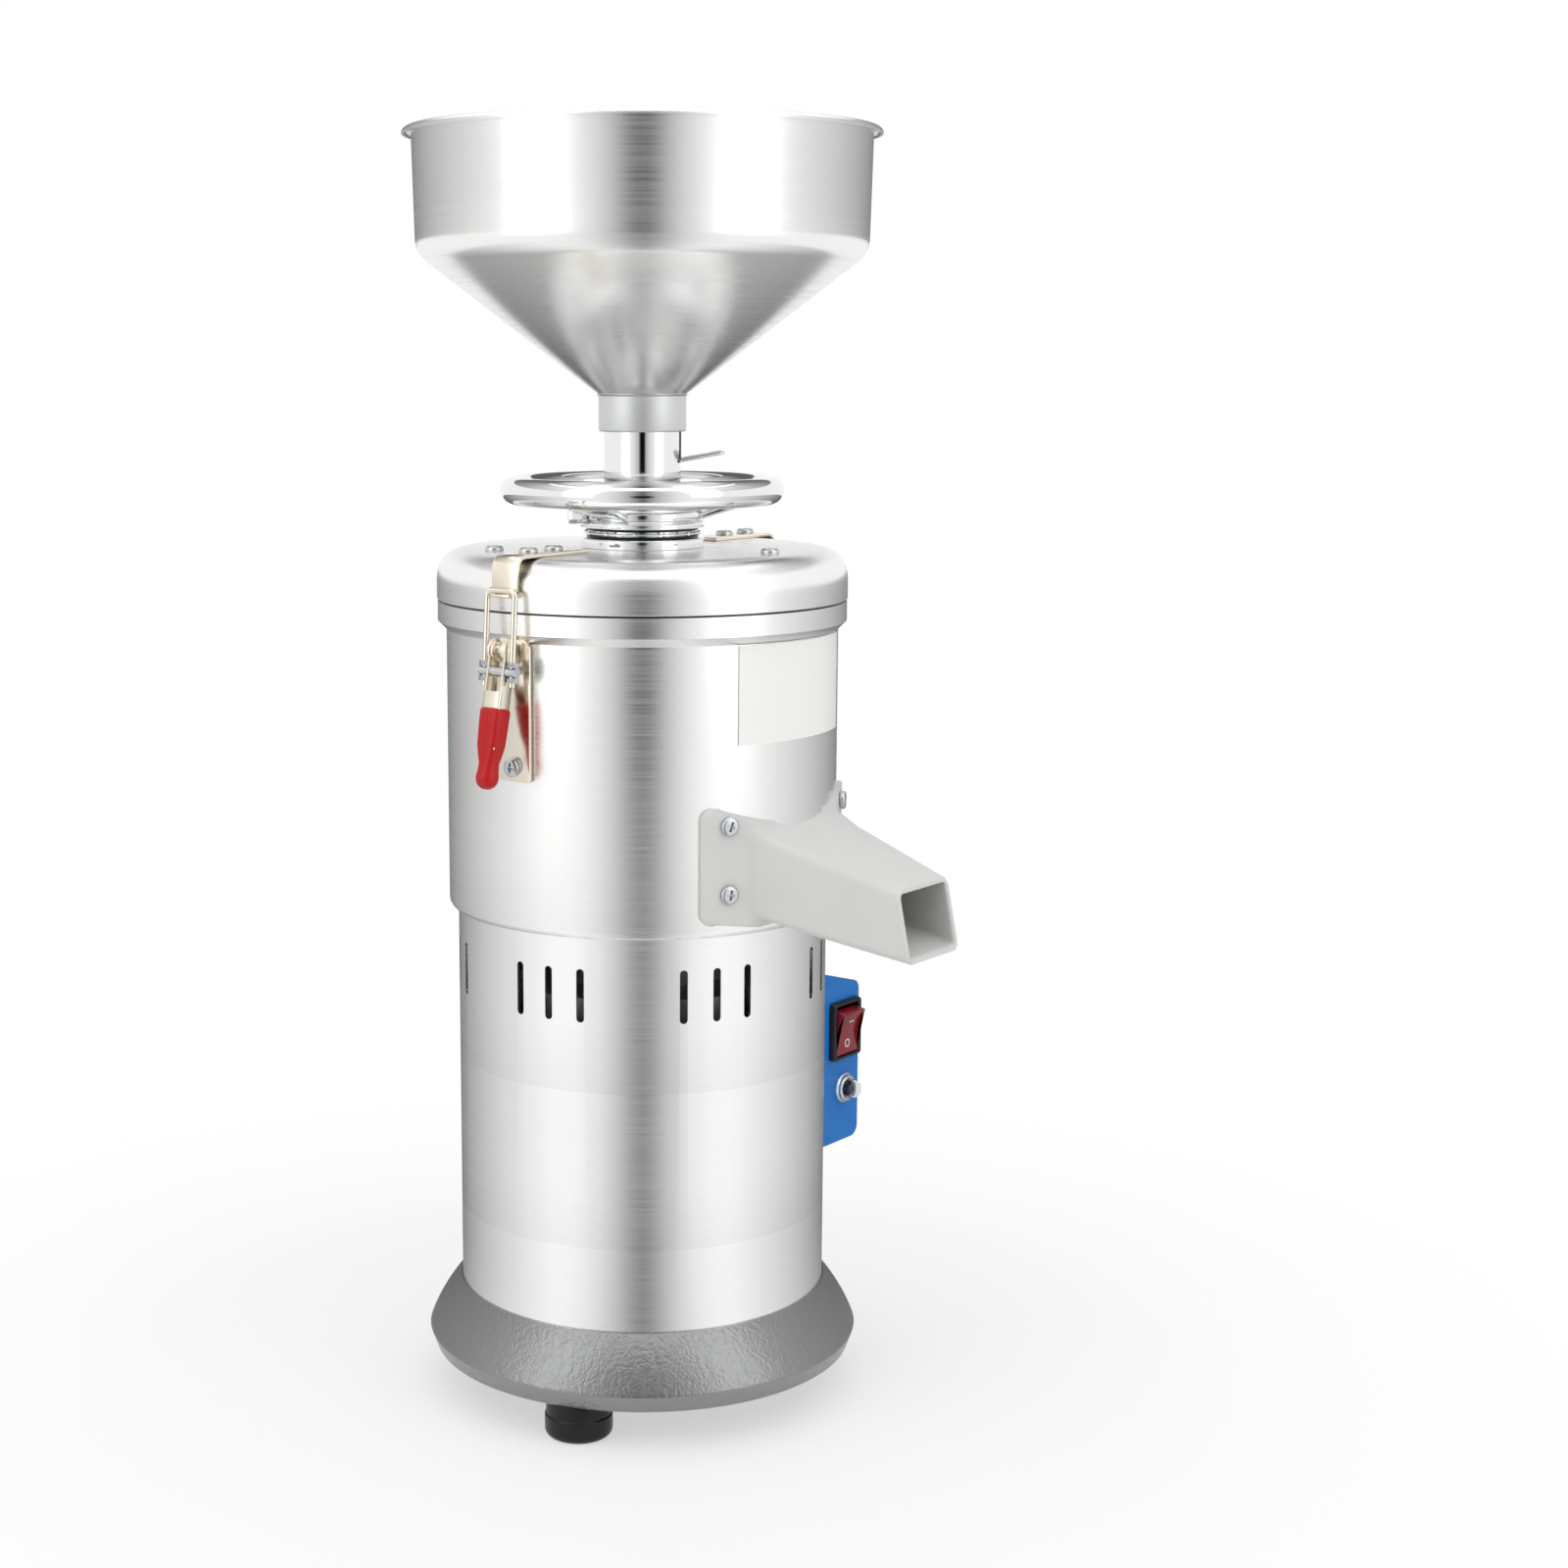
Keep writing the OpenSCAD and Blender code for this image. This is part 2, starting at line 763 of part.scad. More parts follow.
module lid() {
    spigot_r = drum_r - drum_wall - 0.6;
    pad_z = lid_top - lid_wall - pad_h;
    color("silver")
        difference() {
            union() {
                rotate_extrude()
                    polygon(concat([[lid_r, lid_z]], dome(0),
                        [[skirt_r + run_gap, lid_top], [skirt_r + run_gap, lid_top - lid_hub_h],
                        [lid_hub_r, lid_top - lid_hub_h], [lid_hub_r, lid_top - lid_wall]],
                        [for (i = [9:-1:0]) dome(lid_wall)[i]],
                        [[spigot_r - lid_wall, lid_z + 4], [spigot_r - lid_wall, lid_z - 8],
                        [spigot_r, lid_z - 8], [spigot_r, lid_z]]));
                pad_places() translate([0, 0, pad_z]) cylinder(r = pad_r, h = pad_h + 0.5);
                around(guide_angles, guide_pin_ring_r)
                    translate([0, 0, pad_z]) cylinder(r = pin_r + 4, h = pad_h + 0.5);
            }
            pad_places() translate([0, 0, lid_top]) screw_way(pad_h + lid_wall);
            around(guide_angles, guide_pin_ring_r)
                translate([0, 0, pad_z - past]) cylinder(r = pin_r + seat_gap, h = pad_h + past);
        }
}

module lid_gasket() {
    color("black") ring(flange_r - 0.4, drum_r - drum_wall, gasket_h, drum_top);
}

module lid_screws() {
    color("silver") {
        around(lid_screw_angles, lid_screw_r) translate([0, 0, lid_top]) pan_screw(11);
        for (r = keeper_screw_rs) around([0, 180], r) translate([0, 0, lid_top + keeper_t]) pan_screw(12);
    }
}

module boss_ring() {
    color("silver") ring(hub_r, skirt_r + air_gap, boss_h, lid_top);
}

module thrust_bearing() {
    low = lid_top + boss_h;
    high = hub_z - run_gap;
    ball_r = (high - low - 2 * race_h) / 2;
    mid = (low + high) / 2;
    inner = skirt_r + air_gap;
    color("dimgray") {
        ring(race_r, inner, race_h, low);
        ring(race_r, inner, race_h, high - race_h);
        difference() {
            ring(cage_r, inner, cage_h, mid - cage_h / 2);
            around(evenly(ball_count), ball_ring_r)
                translate([0, 0, low]) cylinder(r = ball_r + seat_gap, h = bearing_gap_h);
        }
        around(evenly(ball_count), ball_ring_r) translate([0, 0, mid]) sphere(r = ball_r - 0.01);
    }
}

module guide_pins() {
    low = carrier_z + burr_lift + air_gap;
    color("lightgray")
        around(guide_angles, guide_pin_ring_r)
            translate([0, 0, low]) cylinder(r = pin_r, h = lid_top - lid_wall - low);
}

// ---- handwheel ----

module wheel_torus(grow = 0) {
    translate([0, 0, rim_z]) rotate_extrude() translate([wheel_r, 0]) circle(d = rim_d + 2 * grow);
}

module handwheel_rim() {
    color("silver")
        difference() {
            wheel_torus();
            translate([0, 0, rim_z]) rotate_extrude() translate([wheel_r, 0]) circle(d = rim_d - 3);
        }
}

module handwheel_spokes() {
    foot_in = hub_r - 3;
    foot_up = hub_z + hub_band_h + 0.5;
    reach_in = wheel_r - foot_in;
    climb = rim_z - 1.5 - foot_up - spoke_t / 2;
    slope = atan(climb / reach_in);
    color("silver")
        difference() {
            around(spoke_angles, foot_in)
                translate([0, -spoke_w / 2, foot_up]) rotate([0, -slope, 0])
                    cube([reach_in / cos(slope), spoke_w, spoke_t]);
            wheel_torus();
            cylinder(r = hub_r - 1, h = hub_top + 20);
        }
}

lock_head_r = 4.6;
lock_head_h = 7;
lock_shank_r = 2.5;

module lock_place() {
    rotate([0, 0, lock_angle]) translate([hub_r + 0.3, 0, lock_z]) rotate([0, 90, 0]) children();
}

module handwheel_hub() {
    groove_r = skirt_r - 1.5;
    color("silver")
        difference() {
            union() {
                translate([0, 0, hub_z]) cylinder(r = hub_r, h = hub_band_h);
                translate([0, 0, hub_z]) cylinder(r = hub_r - 1, h = hub_h);
                translate([0, 0, skirt_z]) cylinder(r = skirt_r, h = hub_z - skirt_z + 1);
            }
            translate([0, 0, skirt_z - past])
                cylinder(r = thread_r + run_gap, h = hub_top - skirt_z + 2 * past);
            ring(skirt_r + past, groove_r, ring_h, ring_z);
            lock_place() translate([0, 0, -15]) cylinder(r = lock_shank_r + run_gap, h = 20);
        }
}

module retaining_ring() {
    color("dimgray") ring(ring_r, skirt_r - 1.45, ring_h - 0.1, ring_z + 0.05);
}

module lock_screw() {
    reach = hub_r + 0.3 - thread_r - air_gap;
    color("silver")
        lock_place() {
            cylinder(r = lock_head_r, h = lock_head_h, $fn = 6);
            translate([0, 0, -reach]) cylinder(r = lock_shank_r, h = reach);
        }
}

// ---- feed sleeve, gate and hopper ----

module gate_place() {
    rotate([0, 0, gate_angle]) translate([0, 0, gate_z]) rotate([0, -gate_tilt, 0]) children();
}

module feed_sleeve() {
    shoulder = hub_top - shoulder_drop;
    slot_gap = 0.15;
    color("silver")
        difference() {
            union() {
                translate([0, 0, carrier_z]) cylinder(r = carrier_r, h = carrier_h);
                translate([0, 0, carrier_z]) cylinder(r = thread_r, h = shoulder - carrier_z);
                translate([0, 0, shoulder - 1]) cylinder(r = tube_r, h = tube_top - shoulder + 1);
            }
            translate([0, 0, carrier_z - past])
                cylinder(r = tube_bore_r, h = tube_top - carrier_z + 2 * past);
            around(burr_screw_angles, burr_screw_ring_r)
                translate([0, 0, carrier_z + carrier_h]) screw_way(carrier_h);
            around(guide_angles, guide_pin_ring_r)
                translate([0, 0, carrier_z - past]) cylinder(r = pin_r + run_gap, h = carrier_h + 2 * past);
            gate_place() translate([0, -gate_w / 2 - slot_gap, -gate_t / 2 - slot_gap])
                cube([tube_r + 10, gate_w + 2 * slot_gap, gate_t + 2 * slot_gap]);
            rotate([0, 0, notch_angle])
                translate([10, -notch_w / 2, collar_z - notch_h])
                    cube([20, notch_w, tube_top - collar_z + notch_h + past]);
        }
}

module feed_gate() {
    color("silver")
        gate_place() translate([gate_inner, -gate_w / 2, -gate_t / 2]) cube([gate_l, gate_w, gate_t]);
}

module hopper_collar() {
    bore = tube_r + run_gap;
    color("silver")
        difference() {
            translate([0, 0, collar_z]) cylinder(r = collar_r, h = collar_h);
            translate([0, 0, collar_z - past]) cylinder(r = bore, h = tube_top - collar_z + past);
            translate([0, 0, tube_top - past]) cylinder(r = tube_bore_r, h = collar_h + past);
        }
}

// The bowl's outside from its neck up a cone, round a knee and up a nearly straight wall
knee_z = hopper_z + (hopper_r - knee_r - collar_r) * tan(cone_slope);
wall_z = knee_z + knee_r * 1.1;
rim_top = collar_z + hopper_h;

function knee_arc(off) = [for (a = [-90 + cone_slope:10:0])
    [hopper_r - 1.3 - knee_r + (knee_r - off) * cos(a), wall_z + (knee_r - off) * sin(a)]];

module hopper_bowl() {
    lean = hopper_wall * (1 - cos(cone_slope)) / sin(cone_slope);
    roll_z = rim_top - rim_roll_r;
    neck_up = hopper_wall / cos(cone_slope);
    color("silver") {
        rotate_extrude()
            polygon(concat([[tube_bore_r, hopper_z], [collar_r, hopper_z]], knee_arc(0),
                [[hopper_r, roll_z], [hopper_r - hopper_wall, roll_z]],
                [for (i = [len(knee_arc(0)) - 1:-1:0]) knee_arc(hopper_wall)[i]],
                [[collar_r - lean, hopper_z + neck_up], [tube_bore_r, hopper_z + neck_up - 1]]));
        translate([0, 0, roll_z])
            rotate_extrude()
                translate([hopper_r + rim_roll_r - hopper_wall, 0])
                    difference() {
                        circle(r = rim_roll_r);
                        circle(r = rim_roll_r - hopper_wall);
                        translate([-2 * rim_roll_r, -2 * rim_roll_r])
                            square([4 * rim_roll_r, 2 * rim_roll_r]);
                    }
    }
}

// ---- latches, drawn on the +X side and turned for the other ----

module on_side(side) {
    rotate([0, 0, side]) children();
}

// Turns an outline drawn in (outward, up) into a plate of thickness t from y = at
module upright(at, t) {
    translate([0, at + t, 0]) rotate([90, 0, 0]) linear_extrude(height = t) children();
}

module latch_plate() {
    low = pivot_z + plate_up - latch_plate_h;
    web_drop = ear_r - 0.6;
    difference() {
        union() {
            translate([plate_u, -latch_plate_w / 2, low]) cube([plate_t, latch_plate_w, latch_plate_h]);
            for (at = [ear_in, -ear_in - ear_t]) {
                translate([pivot_u, at, pivot_z]) rotate([-90, 0, 0]) cylinder(r = ear_r, h = ear_t);
                translate([plate_u + plate_t / 2, at, pivot_z - web_drop])
                    cube([pivot_u - plate_u - plate_t / 2, ear_t, web_drop + plate_up]);
            }
        }
        translate([pivot_u, -10, pivot_z]) rotate([-90, 0, 0]) cylinder(r = latch_pin_r + seat_gap, h = 20);
        translate([plate_u + plate_t, 0, latch_screw_z]) rotate([0, 90, 0]) screw_way(plate_t);
    }
}

module latch_plates() {
    color("lightgray") for (side = [0, 180]) on_side(side) latch_plate();
}

module latch_screws() {
    color("silver") latch_screw_places() pan_screw(plate_t + 2.8);
}

module latch_pins() {
    half = cheek_in + cheek_t + 0.1;
    color("silver")
        for (side = [0, 180])
            on_side(side)
                translate([pivot_u, -half, pivot_z])
                    rotate([-90, 0, 0]) cylinder(r = latch_pin_r, h = 2 * half);
}

// The lever's own frame: its pivot at the origin and its length along -Z
module lever_frame(side) {
    on_side(side) translate([pivot_u, 0, pivot_z]) rotate([0, -lever_lean, 0]) children();
}

module lever(side) {
    width = 2 * (cheek_in + cheek_t);
    color("lightgray")
        difference() {
            lever_frame(side) {
                for (s = [-1, 1])
                    upright(s > 0 ? cheek_in : -cheek_in - cheek_t, cheek_t) {
                        circle(r = cheek_r);
                        translate([-cheek_n, -lever_l]) square([2 * cheek_n, lever_l]);
                    }
                translate([cheek_n - 1.4, -width / 2, -lever_l]) cube([1.4, width, lever_l - 20]);
            }
            on_side(side) {
                translate([pivot_u, -20, pivot_z])
                    rotate([-90, 0, 0]) cylinder(r = latch_pin_r + run_gap, h = 40);
                translate([cross_u, -20, cross_z])
                    rotate([-90, 0, 0]) cylinder(r = cross_r + run_gap, h = 40);
            }
        }
}

// A cross-section of the grip, n by w, at a depth below the pivot
module grip_slice(n, w, depth) {
    translate([-n / 2, -w / 2, -depth]) cube([n, w, 0.5]);
}

module grip(side) {
    full_n = 2 * cheek_n + 2.6;
    full_w = 2 * (cheek_in + cheek_t) + 2.2;
    waist = grip_bulb - 7;
    color("firebrick")
        lever_frame(side)
            difference() {
                union() {
                    hull() {
                        grip_slice(full_n + 0.4, full_w, grip_top + 2);
                        grip_slice(full_n, full_w - 0.4, lever_l + 0.6);
                    }
                    hull() {
                        grip_slice(full_n, full_w - 0.4, lever_l + 0.6);
                        grip_slice(8.8, 9.6, waist);
                    }
                    hull() {
                        grip_slice(8.8, 9.6, waist);
                        translate([0, 0, -grip_bulb]) sphere(r = 5.6, $fn = 32);
                    }
                }
                translate([-cheek_n - 0.05, -full_w / 2 + 1.05, -lever_l - 0.1])
                    cube([2 * cheek_n + 0.1, full_w - 2.1, lever_l]);
            }
}

// The hook's own frame: the crossbar at the origin and the wire rising along +Z
module hook_frame(side) {
    on_side(side) translate([cross_u, 0, cross_z]) rotate([0, -hook_lean, 0]) children();
}

hook_tail = 7;

module hook(side) {
    wire_r = hook_wire_d / 2;
    straight = hook_l - bend_r;
    color("silver")
        hook_frame(side) {
            for (s = [-1, 1]) {
                translate([0, s * leg_t, -hook_tail]) cylinder(r = wire_r, h = hook_tail + straight);
                translate([0, s * (leg_t - bend_r), straight])
                    rotate([90, 0, s > 0 ? 90 : -90])
                        rotate_extrude(angle = 90) translate([bend_r, 0]) circle(r = wire_r);
            }
            translate([0, -leg_t + bend_r, hook_l])
                rotate([-90, 0, 0]) cylinder(r = wire_r, h = 2 * (leg_t - bend_r));
        }
}

module hook_fittings(side) {
    nut_w = 5.5 / cos(30) / 2;
    nut_t = 2.4;
    color("lightgray")
        difference() {
            hook_frame(side) {
                rotate([90, 0, 0]) cylinder(r = cross_r, h = 2 * leg_t + 6, center = true);
                for (s = [-1, 1], z = [-cross_r - nut_t, cross_r])
                    translate([0, s * leg_t, z]) cylinder(r = nut_w, h = nut_t, $fn = 6);
            }
            hook_frame(side)
                for (s = [-1, 1])
                    translate([0, s * leg_t, -20]) cylinder(r = hook_wire_d / 2 + seat_gap, h = 40);
        }
}

module left_lever() { lever(180); }
module left_grip() { grip(180); }
module left_hook() { hook(180); }
module left_hook_fittings() { hook_fittings(180); }
module right_lever() { lever(0); }
module right_grip() { grip(0); }
module right_hook() { hook(0); }
module right_hook_fittings() { hook_fittings(0); }

// The strap runs out over the lid, turns down past its edge and ends in a narrower ledge,
// which the hook's bar pulls down on
module keeper_outline(ledge) {
    out = keeper_drop_u;
    polygon([[keeper_in_r, lid_top], [out - 8, lid_top], [out - 4, lid_top - 2],
        [out - keeper_t, lid_top - 7], [out - keeper_t, ledge + 1.5], [out, ledge + 1.5],
        [out, lid_top - 6], [out - 3, lid_top], [out - 7, lid_top + keeper_t],
        [keeper_in_r, lid_top + keeper_t]]);
}

module ledge_outline(ledge) {
    out = keeper_drop_u;
    tip = bar_u + 1.6;
    polygon([[out - keeper_t, ledge + 1.5], [out - keeper_t, ledge - 1.5],
        [out - 1.2, ledge - keeper_t - 0.5],
        [tip, ledge - keeper_t + 0.5], [tip, ledge + 0.3], [out + 1, ledge - 0.1],
        [out, ledge + 1.2], [out, ledge + 1.5]]);
}

module keeper_straps() {
    ledge = bar_z - hook_wire_d / 2 - 0.3;
    ledge_w = 2 * (leg_t - bend_r + 0.3);
    color("lightgray")
        difference() {
            for (side = [0, 180])
                on_side(side) {
                    upright(-keeper_w / 2, keeper_w) keeper_outline(ledge);
                    upright(-ledge_w / 2, ledge_w) ledge_outline(ledge);
                }
            for (r = keeper_screw_rs)
                around([0, 180], r) translate([0, 0, lid_top - past]) cylinder(r = screw_hole_r, h = 5);
        }
}

// ---- switch box ----

module rounded_rect(w, h, r) {
    translate([r, 0]) square([w - 2 * r, h]);
    translate([0, r]) square([w, h - 2 * r]);
    for (x = [r, w - r], y = [r, h - r]) translate([x, y]) circle(r = r);
}

box_x0 = cover_r - 12;

// A block with the box's outline, from y0 to y1, drawn in by inset
module box_block(y0, y1, inset) {
    translate([box_x0, y1, box_z + inset]) rotate([90, 0, 0])
        linear_extrude(height = y1 - y0)
            rounded_rect(box_x1 - box_x0 - inset, box_h - 2 * inset, box_corner - inset);
}

module cover_cut(grow) {
    translate([0, 0, cover_z]) cylinder(r = cover_r + grow, h = cover_h);
}

module switch_box() {
    color("steelblue")
        difference() {
            box_block(box_y0 + panel_t, box_y1, 0);
            difference() {
                box_block(box_y0, box_y1 - box_wall, box_wall);
                cover_cut(seat_gap + box_wall);
            }
            cover_cut(seat_gap);
            wire_hole();
            translate([gland_x, gland_y, box_z - past])
                cylinder(r = gland_r - 3 + seat_gap, h = box_wall + 2 * past);
        }
}

module bezel_body(grow) {
    translate([control_x - bezel_w / 2 + 1.5 - grow, box_y0 - past, rocker_z - bezel_h / 2 + 1.5 - grow])
        cube([bezel_w - 3 + 2 * grow, bezel_deep + past, bezel_h - 3 + 2 * grow]);
}

module switch_panel() {
    color("steelblue")
        difference() {
            box_block(box_y0, box_y0 + panel_t, 0);
            cover_cut(seat_gap);
            bezel_body(seat_gap);
            translate([control_x, box_y0 - past, reset_z]) rotate([-90, 0, 0])
                cylinder(r = reset_collar_r - 2 + seat_gap, h = panel_t + 2 * past);
        }
}

module rocker_room() {
    half_h = rocker_half + 1.9;
    translate([control_x - rocker_w / 2 - 0.4, box_y0 - bezel_out - past, rocker_z - half_h])
        cube([rocker_w + 0.8, bezel_out + bezel_deep + 2 * past, 2 * half_h]);
}

module trunnion(r, half) {
    translate([control_x - half, box_y0 + 2, rocker_z]) rotate([0, 90, 0]) cylinder(r = r, h = 2 * half);
}

module switch_bezel() {
    color("black")
        difference() {
            union() {
                translate([control_x - bezel_w / 2, box_y0 - bezel_out, rocker_z - bezel_h / 2])
                    cube([bezel_w, bezel_out, bezel_h]);
                bezel_body(0);
            }
            rocker_room();
            trunnion(trunnion_r + run_gap, rocker_w / 2 + 1.2);
        }
}

module rocker() {
    rise = rocker_half * tan(rocker_tilt);
    front = rocker_front + 2;
    color("red")
        intersection() {
            union() {
                translate([control_x, box_y0 + 2, rocker_z]) rotate([rocker_tilt, 0, 0])
                    rotate([0, -90, 0]) rotate([0, 0, 180]) translate([0, 0, -rocker_w / 2])
                        linear_extrude(height = rocker_w)
                            polygon([[-rocker_half, 1], [-rocker_half, front + rise], [0, front],
                                [rocker_half, front + rise], [rocker_half, 1], [6, -5], [-6, -5]]);
                trunnion(trunnion_r, rocker_w / 2 + 1);
            }
            translate([control_x - 20, box_y0 - 30, rocker_z - 30]) cube([40, 60, 60]);
        }
}

module reset_nut() {
    color("silver")
        difference() {
            union() {
                translate([control_x, box_y0 - reset_collar_h, reset_z]) rotate([-90, 0, 0])
                    cylinder(r = reset_collar_r, h = reset_collar_h);
                translate([control_x, box_y0 - 1, reset_z]) rotate([-90, 0, 0])
                    cylinder(r = reset_collar_r - 2, h = 18);
            }
            translate([control_x, box_y0 - 10, reset_z]) rotate([-90, 0, 0])
                cylinder(r = reset_r + run_gap, h = 24);
        }
}

module reset_button() {
    color("lightgray")
        translate([control_x, box_y0, reset_z]) rotate([90, 0, 0])
            rotate_extrude()
                polygon(concat([[0, -8], [reset_r, -8], [reset_r, reset_out - reset_r]],
                    [for (a = [15:15:75]) [reset_r * cos(a), reset_out - reset_r + reset_r * sin(a)]],
                    [[0, reset_out]]));
}

capacitor_r = 16;

module capacitor() {
    color("white")
        translate([control_x - 8, box_y1 - box_wall - capacitor_r - 0.3, box_z + 22])
            cylinder(r = capacitor_r, h = 60);
}

module cable_gland() {
    color("black")
        difference() {
            union() {
                translate([gland_x, gland_y, box_z - 6]) cylinder(r = gland_r, h = 6);
                translate([gland_x, gland_y, box_z - gland_l])
                    cylinder(r1 = gland_r - 3, r2 = gland_r - 1, h = gland_l - 6);
                translate([gland_x, gland_y, box_z - 1]) cylinder(r = gland_r - 3, h = box_wall + 7);
            }
            translate([gland_x, gland_y, box_z - 40]) cylinder(r = gland_bore_r, h = 60);
        }
}

rubber_feet();
foot_screws();
base_casting();
motor_cover();
motor_lower_plate();
motor_stator();
motor_windings();
motor_upper_plate();
motor_tie_bolts();
bearings();
motor_shaft();
rotor_core();
cooling_fan();
discharge_impeller();
rotor_burr();
burr_nut();
motor_adapter();
shaft_seal();
grinding_chamber();
chamber_screws();
spout();
spout_screws();
label_plate();
lid();
lid_gasket();
lid_screws();
boss_ring();
thrust_bearing();
guide_pins();
handwheel_rim();
handwheel_spokes();
handwheel_hub();
retaining_ring();
lock_screw();
feed_sleeve();
stator_burr();
burr_screws();
feed_gate();
hopper_bowl();
hopper_collar();
latch_plates();
latch_screws();
latch_pins();
left_lever();
left_grip();
left_hook();
left_hook_fittings();
right_lever();
right_grip();
right_hook();
right_hook_fittings();
keeper_straps();
switch_box();
switch_panel();
switch_bezel();
rocker();
reset_nut();
reset_button();
capacitor();
cable_gland();
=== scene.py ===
from math import atan, atan2, cos, pi, radians, sin, sqrt, tan

import bmesh
import bpy
from mathutils import Matrix, Vector


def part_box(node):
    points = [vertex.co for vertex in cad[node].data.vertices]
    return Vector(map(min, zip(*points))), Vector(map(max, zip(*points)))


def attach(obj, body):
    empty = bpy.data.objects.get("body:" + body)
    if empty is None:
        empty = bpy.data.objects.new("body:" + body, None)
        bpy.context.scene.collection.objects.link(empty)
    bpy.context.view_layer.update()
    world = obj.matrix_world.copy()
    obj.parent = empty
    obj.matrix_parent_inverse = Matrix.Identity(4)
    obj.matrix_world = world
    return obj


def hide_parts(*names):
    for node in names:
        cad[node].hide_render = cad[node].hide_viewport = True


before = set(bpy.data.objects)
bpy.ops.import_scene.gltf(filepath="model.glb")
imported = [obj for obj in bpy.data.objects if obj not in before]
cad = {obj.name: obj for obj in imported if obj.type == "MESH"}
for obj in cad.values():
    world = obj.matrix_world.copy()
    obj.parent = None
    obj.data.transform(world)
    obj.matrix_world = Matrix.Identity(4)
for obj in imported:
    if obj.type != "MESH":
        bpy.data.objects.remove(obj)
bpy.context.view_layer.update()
scene = bpy.context.scene


# ---- Camera ----
# It stands where the photograph was taken from: level with the hopper's foot, left of the spout,
# looking a little down. The machine is left of the middle, so the lens is shifted, not turned.

MM = 0.001
photo_width = 1600
focal_pixels = 2634.5
axis_column = 655.5
camera_reach = 1325.6 * MM
camera_height = 537.4 * MM
camera_azimuth = radians(218)
camera_pitch = radians(9.376)

camera = bpy.data.objects.new("camera", bpy.data.cameras.new("camera"))
camera.location = (
    camera_reach * cos(camera_azimuth),
    camera_reach * sin(camera_azimuth),
    camera_height,
)
camera.rotation_euler = (pi / 2 - camera_pitch, 0, camera_azimuth + pi / 2)
camera.data.lens = focal_pixels / photo_width * camera.data.sensor_width
camera.data.shift_x = 0.5 - axis_column / photo_width
camera.data.clip_end = 50
scene.collection.objects.link(camera)
scene.camera = camera
scene.view_settings.view_transform = "Standard"


# ---- Studio light ----
# A white surround and two tall soft boxes, left and right of the camera. Every colour then
# renders about as it is written.

surround_level = (0.42, 1.50)
box_radiance = 0.90
box_size = (0.9, 1.8)
box_reach = 1.75
box_height = 1.0
box_swing = radians(52)
aim = Vector((0, 0, 0.33))


def add_node(tree, kind, settings=None, **links):
    """One node, with its settings, and its inputs taken from values or other nodes' outputs."""
    node = tree.nodes.new(kind)
    for name, value in (settings or {}).items():
        setattr(node, name, value)
    for name, value in links.items():
        key = int(name[1:]) if name[1:].isdigit() else name.replace("_", " ")
        socket = node.inputs[key]
        if isinstance(value, bpy.types.NodeSocket):
            tree.links.new(value, socket)
        else:
            socket.default_value = value
    return node


def worked_out(tree, operation, first, second):
    """The result of one sum on two values."""
    return add_node(tree, "ShaderNodeMath", {"operation": operation},
                    _0=first, _1=second).outputs[0]


def seen_directly(tree):
    """1 for what the camera, metal or glass sees, 0 for what only lights other surfaces."""
    path = add_node(tree, "ShaderNodeLightPath").outputs
    either = worked_out(tree, "MAXIMUM", path["Is Camera Ray"], path["Is Glossy Ray"])
    return worked_out(tree, "MAXIMUM", either, path["Is Transmission Ray"])


# The surround lights from above more than from the side, so that tops read lighter than walls
world = bpy.data.worlds.new("white surround")
world.use_nodes = True
scene.world = world
tree = world.node_tree
way = add_node(tree, "ShaderNodeTexCoord").outputs["Generated"]
up = add_node(tree, "ShaderNodeSeparateXYZ", Vector=way).outputs["Z"]
sky = add_node(tree, "ShaderNodeMapRange", Value=up,
               To_Min=surround_level[0], To_Max=surround_level[1]).outputs[0]
level = worked_out(tree, "MAXIMUM", seen_directly(tree), sky)
background = tree.nodes["Background"]
background.inputs["Color"].default_value = (1, 1, 1, 1)
tree.links.new(level, background.inputs["Strength"])

for side in (-1, 1):
    lamp = bpy.data.lights.new("soft box", "AREA")
    lamp.shape = "RECTANGLE"
    lamp.size, lamp.size_y = box_size
    lamp.energy = box_radiance * pi * box_size[0] * box_size[1]
    swing = camera_azimuth + side * box_swing
    box = bpy.data.objects.new("soft box", lamp)
    box.location = (box_reach * cos(swing), box_reach * sin(swing), box_height)
    box.rotation_euler = (box.location - aim).to_track_quat("Z", "Y").to_euler()
    scene.collection.objects.link(box)


# ---- Floor ----
# A pale table top that runs out into the white background. Near the machine it takes its
# shadow, and further out it fades to plain white.

floor_reach = 6.0
shadow_share = 0.45
shadow_edge = (0.22, 0.60)


def srgb(code):
    """The linear colour of a hex code such as #C0C0C0."""
    channels = [int(code[i:i + 2], 16) / 255 for i in (1, 3, 5)]
    linear = [c / 12.92 if c <= 0.04045 else ((c + 0.055) / 1.055) ** 2.4 for c in channels]
    return (*linear, 1.0)


def new_finish(name, values):
    """A material with one Principled shader, whose sockets take plain values."""
    material = bpy.data.materials.new(name)
    material.use_nodes = True
    shader = material.node_tree.nodes["Principled BSDF"]
    for socket, value in values.items():
        shader.inputs[socket].default_value = value
    return material, material.node_tree, shader


